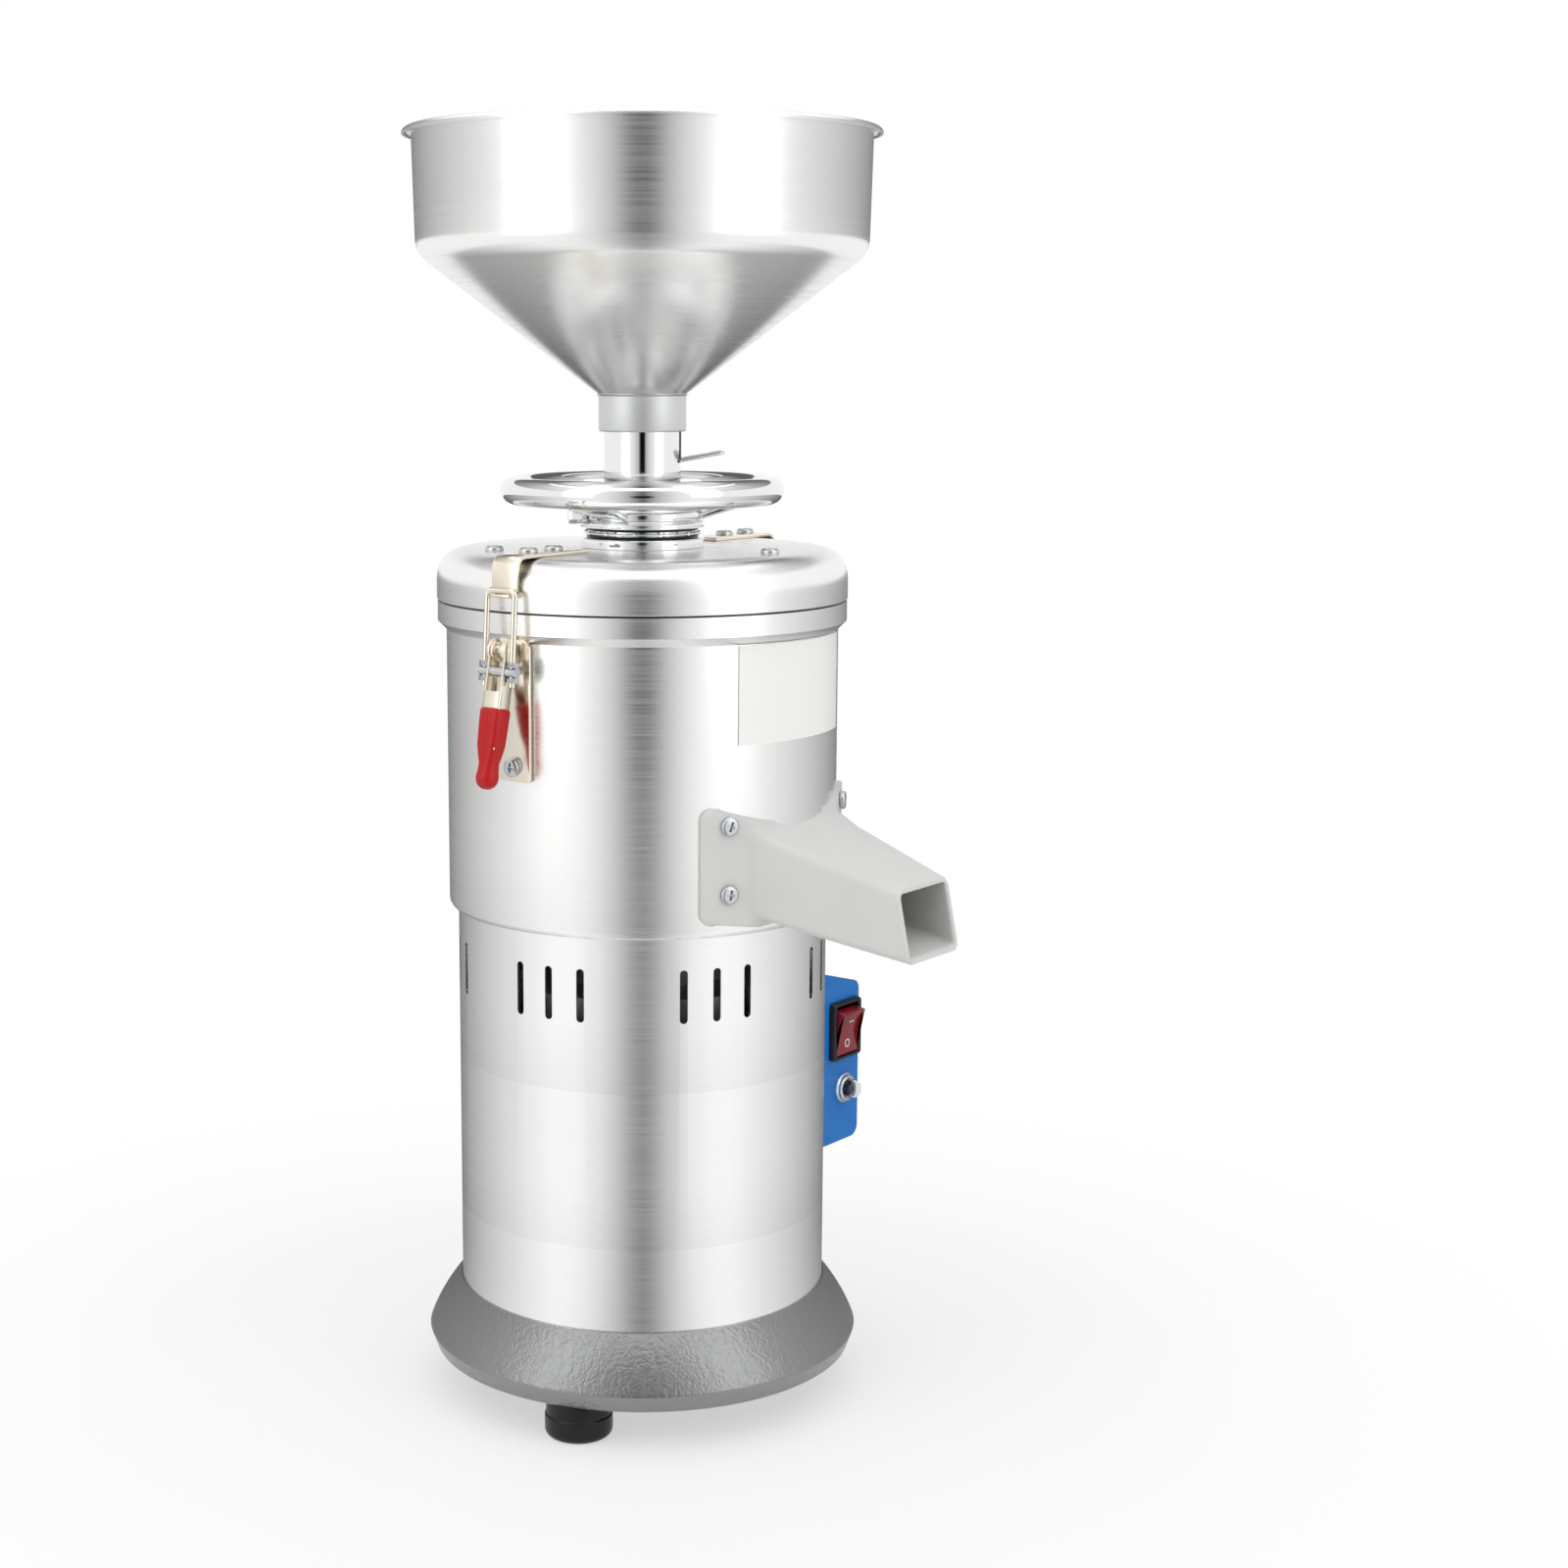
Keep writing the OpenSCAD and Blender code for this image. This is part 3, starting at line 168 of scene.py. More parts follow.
floor_paint, tree, shader = new_finish("white table top", {
    "Base Color": srgb("#E4E4E2"), "Roughness": 0.9})
place = add_node(tree, "ShaderNodeTexCoord").outputs["Object"]
reach = add_node(tree, "ShaderNodeVectorMath", {"operation": "LENGTH"},
                 Vector=place).outputs["Value"]
spread = add_node(tree, "ShaderNodeMapRange", {"interpolation_type": "SMOOTHSTEP"},
                  Value=reach, From_Min=shadow_edge[0], From_Max=shadow_edge[1],
                  To_Min=1 - shadow_share, To_Max=1.0)
glow = worked_out(tree, "MULTIPLY", spread.outputs[0], seen_directly(tree))
white = add_node(tree, "ShaderNodeEmission", Color=(1, 1, 1, 1), Strength=1.0)
mixed = add_node(tree, "ShaderNodeMixShader", _0=glow, _1=shader.outputs[0], _2=white.outputs[0])
tree.links.new(mixed.outputs[0], tree.nodes["Material Output"].inputs["Surface"])

mesh = bpy.data.meshes.new("floor")
corners = [(x * floor_reach, y * floor_reach, 0) for x, y in ((-1, -1), (1, -1), (1, 1), (-1, 1))]
mesh.from_pydata(corners, [], [(0, 1, 2, 3)])
mesh.materials.append(floor_paint)
floor = bpy.data.objects.new("floor", mesh)
scene.collection.objects.link(floor)


# ---- Reflection cards ----
# Grey cards with soft edges, as a photographer sets round polished metal: two behind the camera,
# and two close round the back. Only reflections show them, so round walls get dark bands between
# bright ones, while tops and domes stay bright.

card_slices = 64
near_reach = 0.30


def add_card(name, facing, full, none, shade, path, fall=1):
    """A card along a (reach, height) path, solid to the angle full and gone at the angle none."""
    verts, veil = [], []
    for i in range(card_slices + 1):
        off = -none + 2 * none * i / card_slices
        thick = min(max((none - abs(off)) / (none - full), 0), 1)
        for reach, z in path:
            verts.append((reach * cos(facing + off), reach * sin(facing + off), z))
            veil.append(thick ** fall)
    rows = len(path)
    faces = [(i * rows + j, (i + 1) * rows + j, (i + 1) * rows + j + 1, i * rows + j + 1)
             for i in range(card_slices) for j in range(rows - 1)]
    mesh = bpy.data.meshes.new(name)
    mesh.from_pydata(verts, [], faces)
    mesh.attributes.new("veil", "FLOAT", "POINT").data.foreach_set("value", veil)
    material = bpy.data.materials.new(name)
    material.use_nodes = True
    tree = material.node_tree
    tree.nodes.clear()
    thickness = add_node(tree, "ShaderNodeAttribute", {"attribute_name": "veil"}).outputs["Fac"]
    clear = add_node(tree, "ShaderNodeBsdfTransparent")
    grey = add_node(tree, "ShaderNodeEmission", Color=srgb(shade), Strength=1.0)
    mixed = add_node(tree, "ShaderNodeMixShader",
                     _0=thickness, _1=clear.outputs[0], _2=grey.outputs[0])
    add_node(tree, "ShaderNodeOutputMaterial", Surface=mixed.outputs[0])
    mesh.materials.append(material)
    card = bpy.data.objects.new(name, mesh)
    card.visible_camera = False
    card.visible_diffuse = False
    card.visible_transmission = False
    card.visible_shadow = False
    scene.collection.objects.link(card)


behind = camera_azimuth + pi
add_card("grey card behind the camera", camera_azimuth, radians(1), radians(44), "#6C6C6C",
         [(0.16, 0.001), (0.5, 0.001), (2.3, 0.001), (2.3, 2.6)], fall=2)
add_card("black card behind the camera", camera_azimuth, radians(5), radians(11), "#0C0C0C",
         [(2.2, 0.002), (2.2, 0.62)])
add_card("low card round the back", behind, radians(28), radians(132), "#646464",
         [(0.125, 0.001), (near_reach, 0.001), (near_reach, 0.425)])
add_card("high card round the back", behind, radians(28), radians(132), "#646464",
         [(near_reach, 0.59), (near_reach, 0.80)])


# ---- Rubber feet ----
# Three black moulded rubber feet, each held by a zinc-plated screw from below. The rubber is
# nearly black, with a soft sheen on its rounded lower edge.


def levels(box):
    """The heights in mm between which a CAD node's box lies."""
    low, high = box
    return low.z / MM, high.z / MM


foot_angles = (198, 318, 78)
foot_ring = 94.0
foot_low, foot_high = levels(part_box("rubber_feet"))
foot_r = 17.25
foot_neck_r = 16.6
foot_neck_z = 12.2
foot_recess_r = 7.0
foot_screw_r = 3.1
foot_washer_r = 6.1
foot_recess_z = 4.0
foot_washer_z = 8.0


def rounded_outline(corners, steps=6):
    """A closed outline, its corners given as (x, y, radius) and turned into arcs."""
    points = []
    for i, (x, y, radius) in enumerate(corners):
        here = Vector((x, y))
        if not radius:
            points.append(here)
            continue
        back = (Vector(corners[i - 1][:2]) - here).normalized()
        ahead = (Vector(corners[(i + 1) % len(corners)][:2]) - here).normalized()
        half = back.angle(ahead) / 2
        centre = here + (back + ahead).normalized() * radius / sin(half)
        start = here + back * radius / tan(half) - centre
        end = here + ahead * radius / tan(half) - centre
        sweep = pi - 2 * half
        for k in range(steps + 1):
            bent = start * sin((1 - k / steps) * sweep) + end * sin(k / steps * sweep)
            points.append(centre + bent / sin(sweep))
    return points


def turn_about(axis, angle):
    """A frame turned about one of its axes."""
    return Matrix.Rotation(angle, 4, axis)


def shift(x, y, z):
    """A frame moved without turning."""
    return Matrix.Translation((x, y, z))


def turned(solid, outline, place=Matrix.Identity(4), turns=128):
    """Adds an outline of (radius, height), in mm, turned about the Z axis of place."""
    rings = []
    for r, z in outline:
        count = turns if r > 0 else 1
        angles = [2 * pi * k / count for k in range(count)]
        rings.append([solid.verts.new(place @ Vector((r * cos(a), r * sin(a), z))) for a in angles])
    for here, ahead in zip(rings, rings[1:] + rings[:1]):
        if len(here) == 1 and len(ahead) == 1:
            continue
        for k in range(turns):
            quad = [here[k % len(here)], here[(k + 1) % len(here)],
                    ahead[(k + 1) % len(ahead)], ahead[k % len(ahead)]]
            solid.faces.new(dict.fromkeys(quad))


def finished_mesh(name, solid, finish, crease=38):
    """Closes a solid drawn in mm and turns it into a mesh in metres, smooth but for its edges."""
    bmesh.ops.scale(solid, vec=(MM, MM, MM), verts=solid.verts)
    bmesh.ops.remove_doubles(solid, verts=solid.verts, dist=0.002 * MM)
    bmesh.ops.recalc_face_normals(solid, faces=solid.faces)
    mesh = bpy.data.meshes.new(name)
    solid.to_mesh(mesh)
    solid.free()
    mesh.polygons.foreach_set("use_smooth", [True] * len(mesh.polygons))
    mesh.set_sharp_from_angle(angle=radians(crease))
    mesh.materials.append(finish)
    return mesh


def hang(name, mesh, body, stands_for=()):
    """A finished mesh becomes a piece that moves with its body."""
    piece = bpy.data.objects.new(name, mesh)
    scene.collection.objects.link(piece)
    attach(piece, body)
    if stands_for:
        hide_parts(*stands_for)
    return piece


def add_piece(name, solid, finish, body, stands_for=(), crease=38):
    """A solid drawn in mm becomes a piece with its finish, on its body."""
    return hang(name, finished_mesh(name, solid, finish, crease), body, stands_for)


def dress(finish, *names):
    """Gives CAD nodes whose shape is right a finish of their own."""
    for name in names:
        mesh = cad[name].data
        for i in range(len(mesh.materials)):
            cad[name].material_slots[i].link = "OBJECT"
            cad[name].material_slots[i].material = finish


def noise(tree, size, detail):
    """Soft noise over the piece, in blobs about size mm wide."""
    place = add_node(tree, "ShaderNodeTexCoord").outputs["Object"]
    return add_node(tree, "ShaderNodeTexNoise", Vector=place, Scale=1 / (size * MM),
                    Detail=detail).outputs[0]


def emboss(tree, shader, pattern, strength, depth, inward=False):
    """Raises the surface by a pattern, by up to depth mm at full strength."""
    bump = add_node(tree, "ShaderNodeBump", {"invert": inward}, Strength=strength,
                    Distance=depth * MM, Height=pattern)
    tree.links.new(bump.outputs[0], shader.inputs["Normal"])


# Rubber: fine moulded grain, about 0.6 mm, that breaks up its sheen
black_rubber, tree, shader = new_finish("moulded rubber", {
    "Base Color": srgb("#0A0A0A"), "Roughness": 0.34, "Specular IOR Level": 0.35})
emboss(tree, shader, noise(tree, 0.6, 2), strength=0.15, depth=0.1)

feet = bmesh.new()
for angle in foot_angles:
    place = turn_about("Z", radians(angle)) @ shift(foot_ring, 0, 0)
    turned(feet, rounded_outline([
        (foot_recess_r, foot_low, 0.8), (foot_r, foot_low, 4), (foot_r, foot_neck_z - 0.7, 1),
        (foot_neck_r, foot_neck_z, 0.5), (foot_neck_r, foot_high, 0.8),
        (foot_screw_r, foot_high, 0), (foot_screw_r, foot_washer_z, 0),
        (foot_washer_r, foot_washer_z, 0), (foot_washer_r, foot_recess_z, 0),
        (foot_recess_r, foot_recess_z, 0)]), place, turns=72)
add_piece("moulded_feet", feet, black_rubber, "machine", ["rubber_feet"])


# ---- Base casting ----
# A cast iron foot, a slightly crowned cone sprayed with grey hammer-finish enamel. The enamel
# dries in cells about 2 mm wide, which glint where the light turns.

base_low, base_high = levels(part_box("base_casting"))
base_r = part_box("base_casting")[1].x / MM
seat_r = 97.0
band_h = 9.0
base_wall = 5.0
deck_h = 8.0
deck_bore = 28.0
flare_crown = 1.6
flare_steps = 24
boss_r = 12.0
boss_h = 20.0
enamel_cell = 2.0

hammered_enamel, tree, shader = new_finish("hammer finish enamel", {
    "Base Color": srgb("#929393"), "Metallic": 0.8, "Roughness": 0.3})
place = add_node(tree, "ShaderNodeTexCoord").outputs["Object"]
warp = add_node(tree, "ShaderNodeTexNoise", Vector=place, Scale=1 / (6 * MM), Detail=1.0)
bent = add_node(tree, "ShaderNodeMixRGB", {"blend_type": "LINEAR_LIGHT"}, Fac=0.004,
                Color1=place, Color2=warp.outputs["Color"])
cells = add_node(tree, "ShaderNodeTexVoronoi", {"feature": "SMOOTH_F1"}, Vector=bent.outputs[0],
                 Scale=1 / (enamel_cell * MM), Smoothness=0.6)
emboss(tree, shader, cells.outputs["Distance"], strength=0.8, depth=0.26, inward=True)

base = bmesh.new()
band_z = base_low + band_h
deck_z = base_high - deck_h
flare = [(base_r - (base_r - seat_r) * t + 4 * flare_crown * t * (1 - t),
          band_z + (base_high - band_z) * t)
         for t in [k / flare_steps for k in range(flare_steps + 1)]]
turned(base, [(base_r - base_wall, base_low), (base_r - 3.6, base_low),
              (base_r - 3.0, base_low + 0.5), (base_r - 0.7, band_z - 1.6),
              (base_r - 0.2, band_z - 0.7)] + flare
       + [(deck_bore, base_high), (deck_bore, deck_z), (seat_r - 1 - base_wall, deck_z),
          (base_r - base_wall, band_z)], turns=160)
for angle in foot_angles:
    place = turn_about("Z", radians(angle)) @ shift(foot_ring, 0, base_low)
    turned(base, [(0, 0.2), (boss_r - 0.4, 0.2), (boss_r, 0.8), (boss_r, boss_h), (0, boss_h)],
           place, turns=48)
add_piece("enamelled_base", base, hammered_enamel, "machine", ["base_casting"])


# ---- Motor cover ----
# A cylinder of rolled stainless sheet with seven groups of three punched vent slots, brushed
# round. Painted shade darkens it a little just above two heights, fading out upward.

painted_shade_edges = (98.6, 179.0)
painted_shade_fade = 34.0


def rescaled(tree, value, before, after):
    """A value moved from one range to another."""
    return add_node(tree, "ShaderNodeMapRange", Value=value, From_Min=before[0],
                    From_Max=before[1], To_Min=after[0], To_Max=after[1]).outputs[0]


def haze(tree, shader, pattern, before, after):
    """Lets a pattern move the roughness over a range."""
    tree.links.new(rescaled(tree, pattern, before, after), shader.inputs["Roughness"])


def brushed_stainless(name, colour, roughness, painted_shade_edges=(), painted_shade_depth=0.0):
    """Stainless steel brushed round its axis, its brushing about 0.9 mm apart so that it shows,
    with painted shade darkening it just above each of the given edges.
    """
    material, tree, shader = new_finish(name, {"Base Color": srgb(colour), "Metallic": 1.0,
                                               "Roughness": roughness, "Anisotropic": 0.35})
    place = add_node(tree, "ShaderNodeTexCoord").outputs["Object"]
    stretched = add_node(tree, "ShaderNodeMapping", Vector=place, Scale=(6, 6, 1 / (0.9 * MM)))
    lines = add_node(tree, "ShaderNodeTexNoise", Vector=stretched.outputs[0], Scale=1.0, Detail=3.0)
    haze(tree, shader, lines.outputs[0], (0.3, 0.7), (roughness - 0.035, roughness + 0.035))
    emboss(tree, shader, lines.outputs[0], strength=0.008, depth=0.02)
    height = add_node(tree, "ShaderNodeSeparateXYZ", Vector=place).outputs["Z"]
    tone = rescaled(tree, noise(tree, 45, 2), (0.35, 0.65), (0.985, 1.0))
    # Painted shade: just above each edge the colour is darkened, and it lightens again further up
    for edge in painted_shade_edges:
        above = rescaled(tree, height, (edge * MM, (edge + painted_shade_fade) * MM), (1 - painted_shade_depth, 1.0))
        below = worked_out(tree, "LESS_THAN", height, edge * MM)
        tone = worked_out(tree, "MULTIPLY", tone, worked_out(tree, "MAXIMUM", above, below))
    shaded = add_node(tree, "ShaderNodeVectorMath", {"operation": "SCALE"},
                      _0=srgb(colour)[:3], Scale=tone)
    tree.links.new(shaded.outputs[0], shader.inputs["Base Color"])
    return material


cover_steel = brushed_stainless("round brushed stainless sheet", "#FAFAFA", 0.24, painted_shade_edges, 0.06)
dress(cover_steel, "motor_cover")


# ---- Motor and its fixings ----
# An induction motor, hidden by the cover: two cast end plates, a stack of steel sheet with
# copper coils, ball bearings, and a fan on the shaft's foot.

sheet_pitch = 1.0
wave_period = 0.314
coil_count = 24
coil_low, coil_high = levels(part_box("motor_windings"))
coil_ring_r = 56.0
coil_h = 10.0
coil_size = (9.4, 6.6, 4.6)


def tint(tree, shader, share, first, second):
    """Lets the colour run between two tones."""
    tone = add_node(tree, "ShaderNodeMixRGB", Fac=share, Color1=srgb(first), Color2=srgb(second))
    tree.links.new(tone.outputs[0], shader.inputs["Base Color"])


cast_alloy, tree, shader = new_finish("sand cast aluminium", {
    "Base Color": srgb("#B9BBBC"), "Metallic": 1.0, "Roughness": 0.5})
emboss(tree, shader, noise(tree, 0.8, 3), strength=0.4, depth=0.12)
dress(cast_alloy, "motor_lower_plate", "motor_upper_plate", "motor_adapter")

# Stacked steel sheet: the edges of the sheets, drawn 1 mm apart, lie in dark and bright lines
stacked_sheet, tree, shader = new_finish("varnished steel stack", {
    "Base Color": srgb("#5E6166"), "Metallic": 0.8, "Roughness": 0.42})
place = add_node(tree, "ShaderNodeTexCoord").outputs["Object"]
sheets = add_node(tree, "ShaderNodeTexWave", {"bands_direction": "Z"}, Vector=place,
                  Scale=wave_period / (sheet_pitch * MM)).outputs["Fac"]
tint(tree, shader, sheets, "#4A4D52", "#73767B")
emboss(tree, shader, sheets, strength=0.5, depth=0.1)
dress(stacked_sheet, "motor_stator", "rotor_core")

# Ground tool steel: matt grey, with fine circular grinding marks
ground_steel = brushed_stainless("ground tool steel", "#8C8E90", 0.38)
dress(ground_steel, "motor_shaft", "rotor_burr", "stator_burr")

# Zinc plate: a bluish silver with faint clouds, on the fasteners
zinc_plate, tree, shader = new_finish("bright zinc plate", {
    "Base Color": srgb("#C9CCD0"), "Metallic": 1.0, "Roughness": 0.26})
tint(tree, shader, noise(tree, 3, 2), "#BDC1C6", "#D6D8DB")
dress(zinc_plate, "foot_screws", "motor_tie_bolts", "burr_nut", "chamber_screws", "guide_pins",
      "retaining_ring", "burr_screws")

# Black nylon: satin, with a fine moulded grain
black_nylon, tree, shader = new_finish("moulded black nylon", {
    "Base Color": srgb("#141414"), "Roughness": 0.36})
emboss(tree, shader, noise(tree, 0.5, 2), strength=0.1, depth=0.06)
dress(black_nylon, "cooling_fan")
dress(black_rubber, "shaft_seal", "lid_gasket")

# Chrome: the mirror plate of the wheel, tube and rings, with the faintest polishing haze
chrome_plate, tree, shader = new_finish("polished chrome plate", {
    "Base Color": srgb("#ECEDEE"), "Metallic": 1.0, "Roughness": 0.07})
haze(tree, shader, noise(tree, 12, 3), (0.3, 0.7), (0.05, 0.1))
dress(chrome_plate, "bearings")

# Enamelled copper wire, wound as a ring of coils over each end of the stack
copper_wire, tree, shader = new_finish("enamelled copper wire", {
    "Base Color": srgb("#B4652F"), "Metallic": 0.9, "Roughness": 0.3})
tint(tree, shader, noise(tree, 2, 1), "#9A4E20", "#C8783E")


def new_tree(name, *sockets):
    """An empty geometry tree with named inputs, and the outputs of its input node."""
    tree = bpy.data.node_groups.new(name, "GeometryNodeTree")
    for title, kind in sockets:
        tree.interface.new_socket(title, in_out="INPUT", socket_type="NodeSocket" + kind)
    tree.interface.new_socket("Geometry", in_out="OUTPUT", socket_type="NodeSocketGeometry")
    return tree, add_node(tree, "NodeGroupInput").outputs


def end_tree(tree, given, copies):
    """Turns the copies into real geometry with their finish, and sends it out."""
    solid = add_node(tree, "GeometryNodeRealizeInstances", Geometry=copies)
    done = add_node(tree, "GeometryNodeSetMaterial", Geometry=solid.outputs[0],
                    Material=given["Finish"])
    add_node(tree, "NodeGroupOutput", Geometry=done.outputs[0])
    return tree


def grown(tree, values, points=None):
    """The plain mesh that a geometry tree makes, with the tree's named inputs set."""
    holder = bpy.data.objects.new(tree.name, points or bpy.data.meshes.new(tree.name))
    scene.collection.objects.link(holder)
    modifier = holder.modifiers.new(tree.name, "NODES")
    modifier.node_group = tree
    for item in tree.interface.items_tree:
        if item.in_out == "INPUT" and item.name in values:
            modifier[item.identifier] = values[item.name]
    graph = bpy.context.evaluated_depsgraph_get()
    mesh = bpy.data.meshes.new_from_object(holder.evaluated_get(graph))
    bpy.data.objects.remove(holder)
    return mesh


def pattern_part(name, solid, finish):
    """A part that is only copied by a geometry tree, and never shown itself."""
    part = bpy.data.objects.new(name, finished_mesh(name, solid, finish))
    scene.collection.objects.link(part)
    part.hide_render = True
    return part


# Copies of a part evenly round an upright line, each turned to face outward
ring_tree, given = new_tree("parts in a ring", ("Part", "Object"), ("Finish", "Material"),
                            ("Count", "Int"), ("Radius", "Float"), ("Phase", "Float"),
                            ("Centre", "Vector"))
part = add_node(ring_tree, "GeometryNodeObjectInfo", Object=given["Part"]).outputs["Geometry"]
circle = add_node(ring_tree, "GeometryNodeMeshCircle", Vertices=given["Count"],
                  Radius=given["Radius"])
place = add_node(ring_tree, "GeometryNodeInputPosition").outputs[0]
facing = add_node(ring_tree, "FunctionNodeAlignRotationToVector", {"axis": "X"}, Vector=place)
copies = add_node(ring_tree, "GeometryNodeInstanceOnPoints", Points=circle.outputs[0],
                  Instance=part, Rotation=facing.outputs[0])
turn = add_node(ring_tree, "ShaderNodeCombineXYZ", Z=given["Phase"])
turned_ring = add_node(ring_tree, "GeometryNodeTransform", Geometry=copies.outputs[0],
                       Translation=given["Centre"], Rotation=turn.outputs[0])
end_tree(ring_tree, given, turned_ring.outputs[0])

coil = bmesh.new()
bmesh.ops.create_uvsphere(coil, u_segments=16, v_segments=10, radius=1.0)
bmesh.ops.scale(coil, vec=coil_size, verts=coil.verts)
coil_part = pattern_part("coil end", coil, copper_wire)
for name, z in (("lower_coils", coil_low + coil_h / 2), ("upper_coils", coil_high - coil_h / 2)):
    hang(name, grown(ring_tree, {
        "Part": coil_part, "Finish": copper_wire, "Count": coil_count, "Radius": coil_ring_r * MM,
        "Phase": 0.0, "Centre": (0, 0, z * MM)}), "machine", ["motor_windings"])


# ---- Impeller and grinding chamber ----
# The chamber is a spun stainless drum with a flange at its mouth, brushed round. Under the
# burrs a cast stainless impeller sweeps the ground nuts to the spout.

drum_low = levels(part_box("grinding_chamber"))[0]
drum_foot_h = 4.0
# Painted shade: the drum's colour darkens a little just above its foot and fades out upward
drum_steel = brushed_stainless("round brushed spun stainless", "#FAFAF9", 0.25,
                               (drum_low + drum_foot_h,), 0.05)
cast_stainless = brushed_stainless("fine cast stainless", "#CFD0D1", 0.36)
dress(drum_steel, "grinding_chamber")
dress(cast_stainless, "discharge_impeller")


# ---- Spout ----
# One aluminium casting with a light grey powder coat: a flange with rounded corners that wraps
# the drum, and a square duct that narrows to a rounded mouth. Four pan head screws hold it.

drum_r = 100.6
flange_gap = 0.05
flange_t = 3.0
flange_half = radians(36)
flange_low = drum_low + 7
flange_high = levels(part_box("spout"))[1]
flange_corner = 6.0
duct_low, duct_high = 266.0, 309.0
duct_w = 75.0
duct_corner = 4.5
mouth_w = 46.0
mouth_h = 37.0
mouth_tilt = radians(11.7)
mouth_top_z = 287.5
mouth_reach = 171.5
mouth_corner = 5.0
duct_wall = 3.0
duct_sunk = 3.0

# Powder coat: a light grey with the fine orange peel of sprayed powder, about 1.4 mm
powder_grey, tree, shader = new_finish("light grey powder coat", {
    "Base Color": srgb("#D2D2D0"), "Roughness": 0.46, "Coat Weight": 0.15, "Coat Roughness": 0.3})
emboss(tree, shader, noise(tree, 1.4, 2), strength=0.12, depth=0.1)
tint(tree, shader, noise(tree, 40, 1), "#C9C9C7", "#D1D1CF")


def square_ring(w, h, corner, steps=6):
    """A rounded rectangle round the origin, as (across, up) points."""
    return rounded_outline([(-w / 2, -h / 2, corner), (w / 2, -h / 2, corner),
                            (w / 2, h / 2, corner), (-w / 2, h / 2, corner)], steps)


def joined(solid, here, ahead):
    """Adds the band of faces between two loops of corners."""
    for k in range(len(here)):
        ahead_k = (k + 1) % len(here)
        solid.faces.new((here[k], here[ahead_k], ahead[ahead_k], ahead[k]))


def bridged(solid, loops, closed=True):
    """Skins a row of loops with equally many points, and joins the last to the first if closed."""
    rows = [[solid.verts.new(point) for point in loop] for loop in loops]
    for here, ahead in zip(rows, rows[1:] + ([rows[0]] if closed else [])):
        joined(solid, here, ahead)
    return rows


def duct_loop(along, inset, flare=0.0):
    """The duct's outline between its root at the drum (0) and its mouth (1)."""
    w = duct_w + (mouth_w - duct_w) * along - 2 * inset + flare
    h = (duct_high - duct_low) * (1 - along) + mouth_h * along - 2 * inset + flare
    corner = duct_corner + (mouth_corner - duct_corner) * along - min(inset, 6) + flare / 2
    root_y = -drum_r + duct_sunk
    mouth_mid_z = mouth_top_z - cos(mouth_tilt) * mouth_h / 2
    mouth_mid_y = -(mouth_reach + sin(mouth_tilt) * mouth_h / 2)
    y = root_y + (mouth_mid_y - root_y) * along
    z = (duct_low + duct_high) / 2 * (1 - along) + mouth_mid_z * along
    tilt = mouth_tilt * along
    return [Vector((across, y + up * sin(tilt), z + up * cos(tilt)))
            for across, up in square_ring(w, h, corner)]


def on_wall(points, radius):
    """Moves points straight back onto the drum's wall."""
    return [Vector((p.x, -sqrt(max(radius ** 2 - p.x ** 2, 1)), p.z)) for p in points]


casting = bmesh.new()
outer_r = drum_r + flange_gap + flange_t
edge = [(0.0, flange_gap), (0.0, flange_t - 0.9), (0.35, flange_t - 0.3), (1.0, flange_t)]
span = flange_half * outer_r
mid_z = (flange_low + flange_high) / 2
plate_loops = []
for inset, out in edge:
    loop = []
    for across, up in square_ring(2 * span - 2 * inset, flange_high - flange_low - 2 * inset,
                                  flange_corner - inset * 0.6):
        angle = across / outer_r - pi / 2
        loop.append(Vector(((drum_r + out) * cos(angle), (drum_r + out) * sin(angle), mid_z + up)))
    plate_loops.append(loop)
rows = bridged(casting, plate_loops, closed=False)

blend = [(4.5, 0.0), (2.6, 0.5), (1.2, 1.3), (0.4, 2.5), (0.0, 4.2)]
skin = []
for flare, lift in blend:
    skin.append(on_wall(duct_loop(0, 0, 2 * flare), outer_r + lift))
skin += [duct_loop(along, 0) for along in (0.2, 0.4, 0.6, 0.8, 0.985)]
skin += [duct_loop(1.0, 0.7), duct_loop(1.0, 2.0), duct_loop(0.99, duct_wall - 0.2)]
skin += [duct_loop(along, duct_wall) for along in (0.97, 0.8, 0.6, 0.4, 0.2)]
skin.append(on_wall(duct_loop(0, duct_wall), drum_r + flange_gap))
duct_rows = bridged(casting, skin, closed=False)
joined(casting, rows[-1], duct_rows[0])
joined(casting, duct_rows[-1], rows[0])
add_piece("powder_coated_spout", casting, powder_grey, "machine", ["spout"], crease=50)


# ---- Pan head screws ----
# Zinc plated M5 screws with a domed head and a cross recess. Two hold each keeper strap, three
# the lid's inner parts, four the spout and one each latch plate. Each is turned as it was left.

head_r = 4.7
head_h = 2.6
head_flat_r = 3.1
shank_r = 2.3
shank_l = 5.0
recess_arm = 2.5
recess_half = 0.6
recess_deep = 1.5
recess_taper = 0.62
head_sides = 32
lid_top = levels(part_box("boss_ring"))[0]
strap_t = 2.0
keeper_screw_rs = (71.0, 90.0)
lid_screw_r = 80.0
lid_screw_angles = (-90, 30, 150)
spout_face_r = 103.65
spout_screw_angles = (-118, -62)
spout_screw_zs = (279.5, 313.3)
latch_face_r = 102.65
latch_screw_z = 340.0

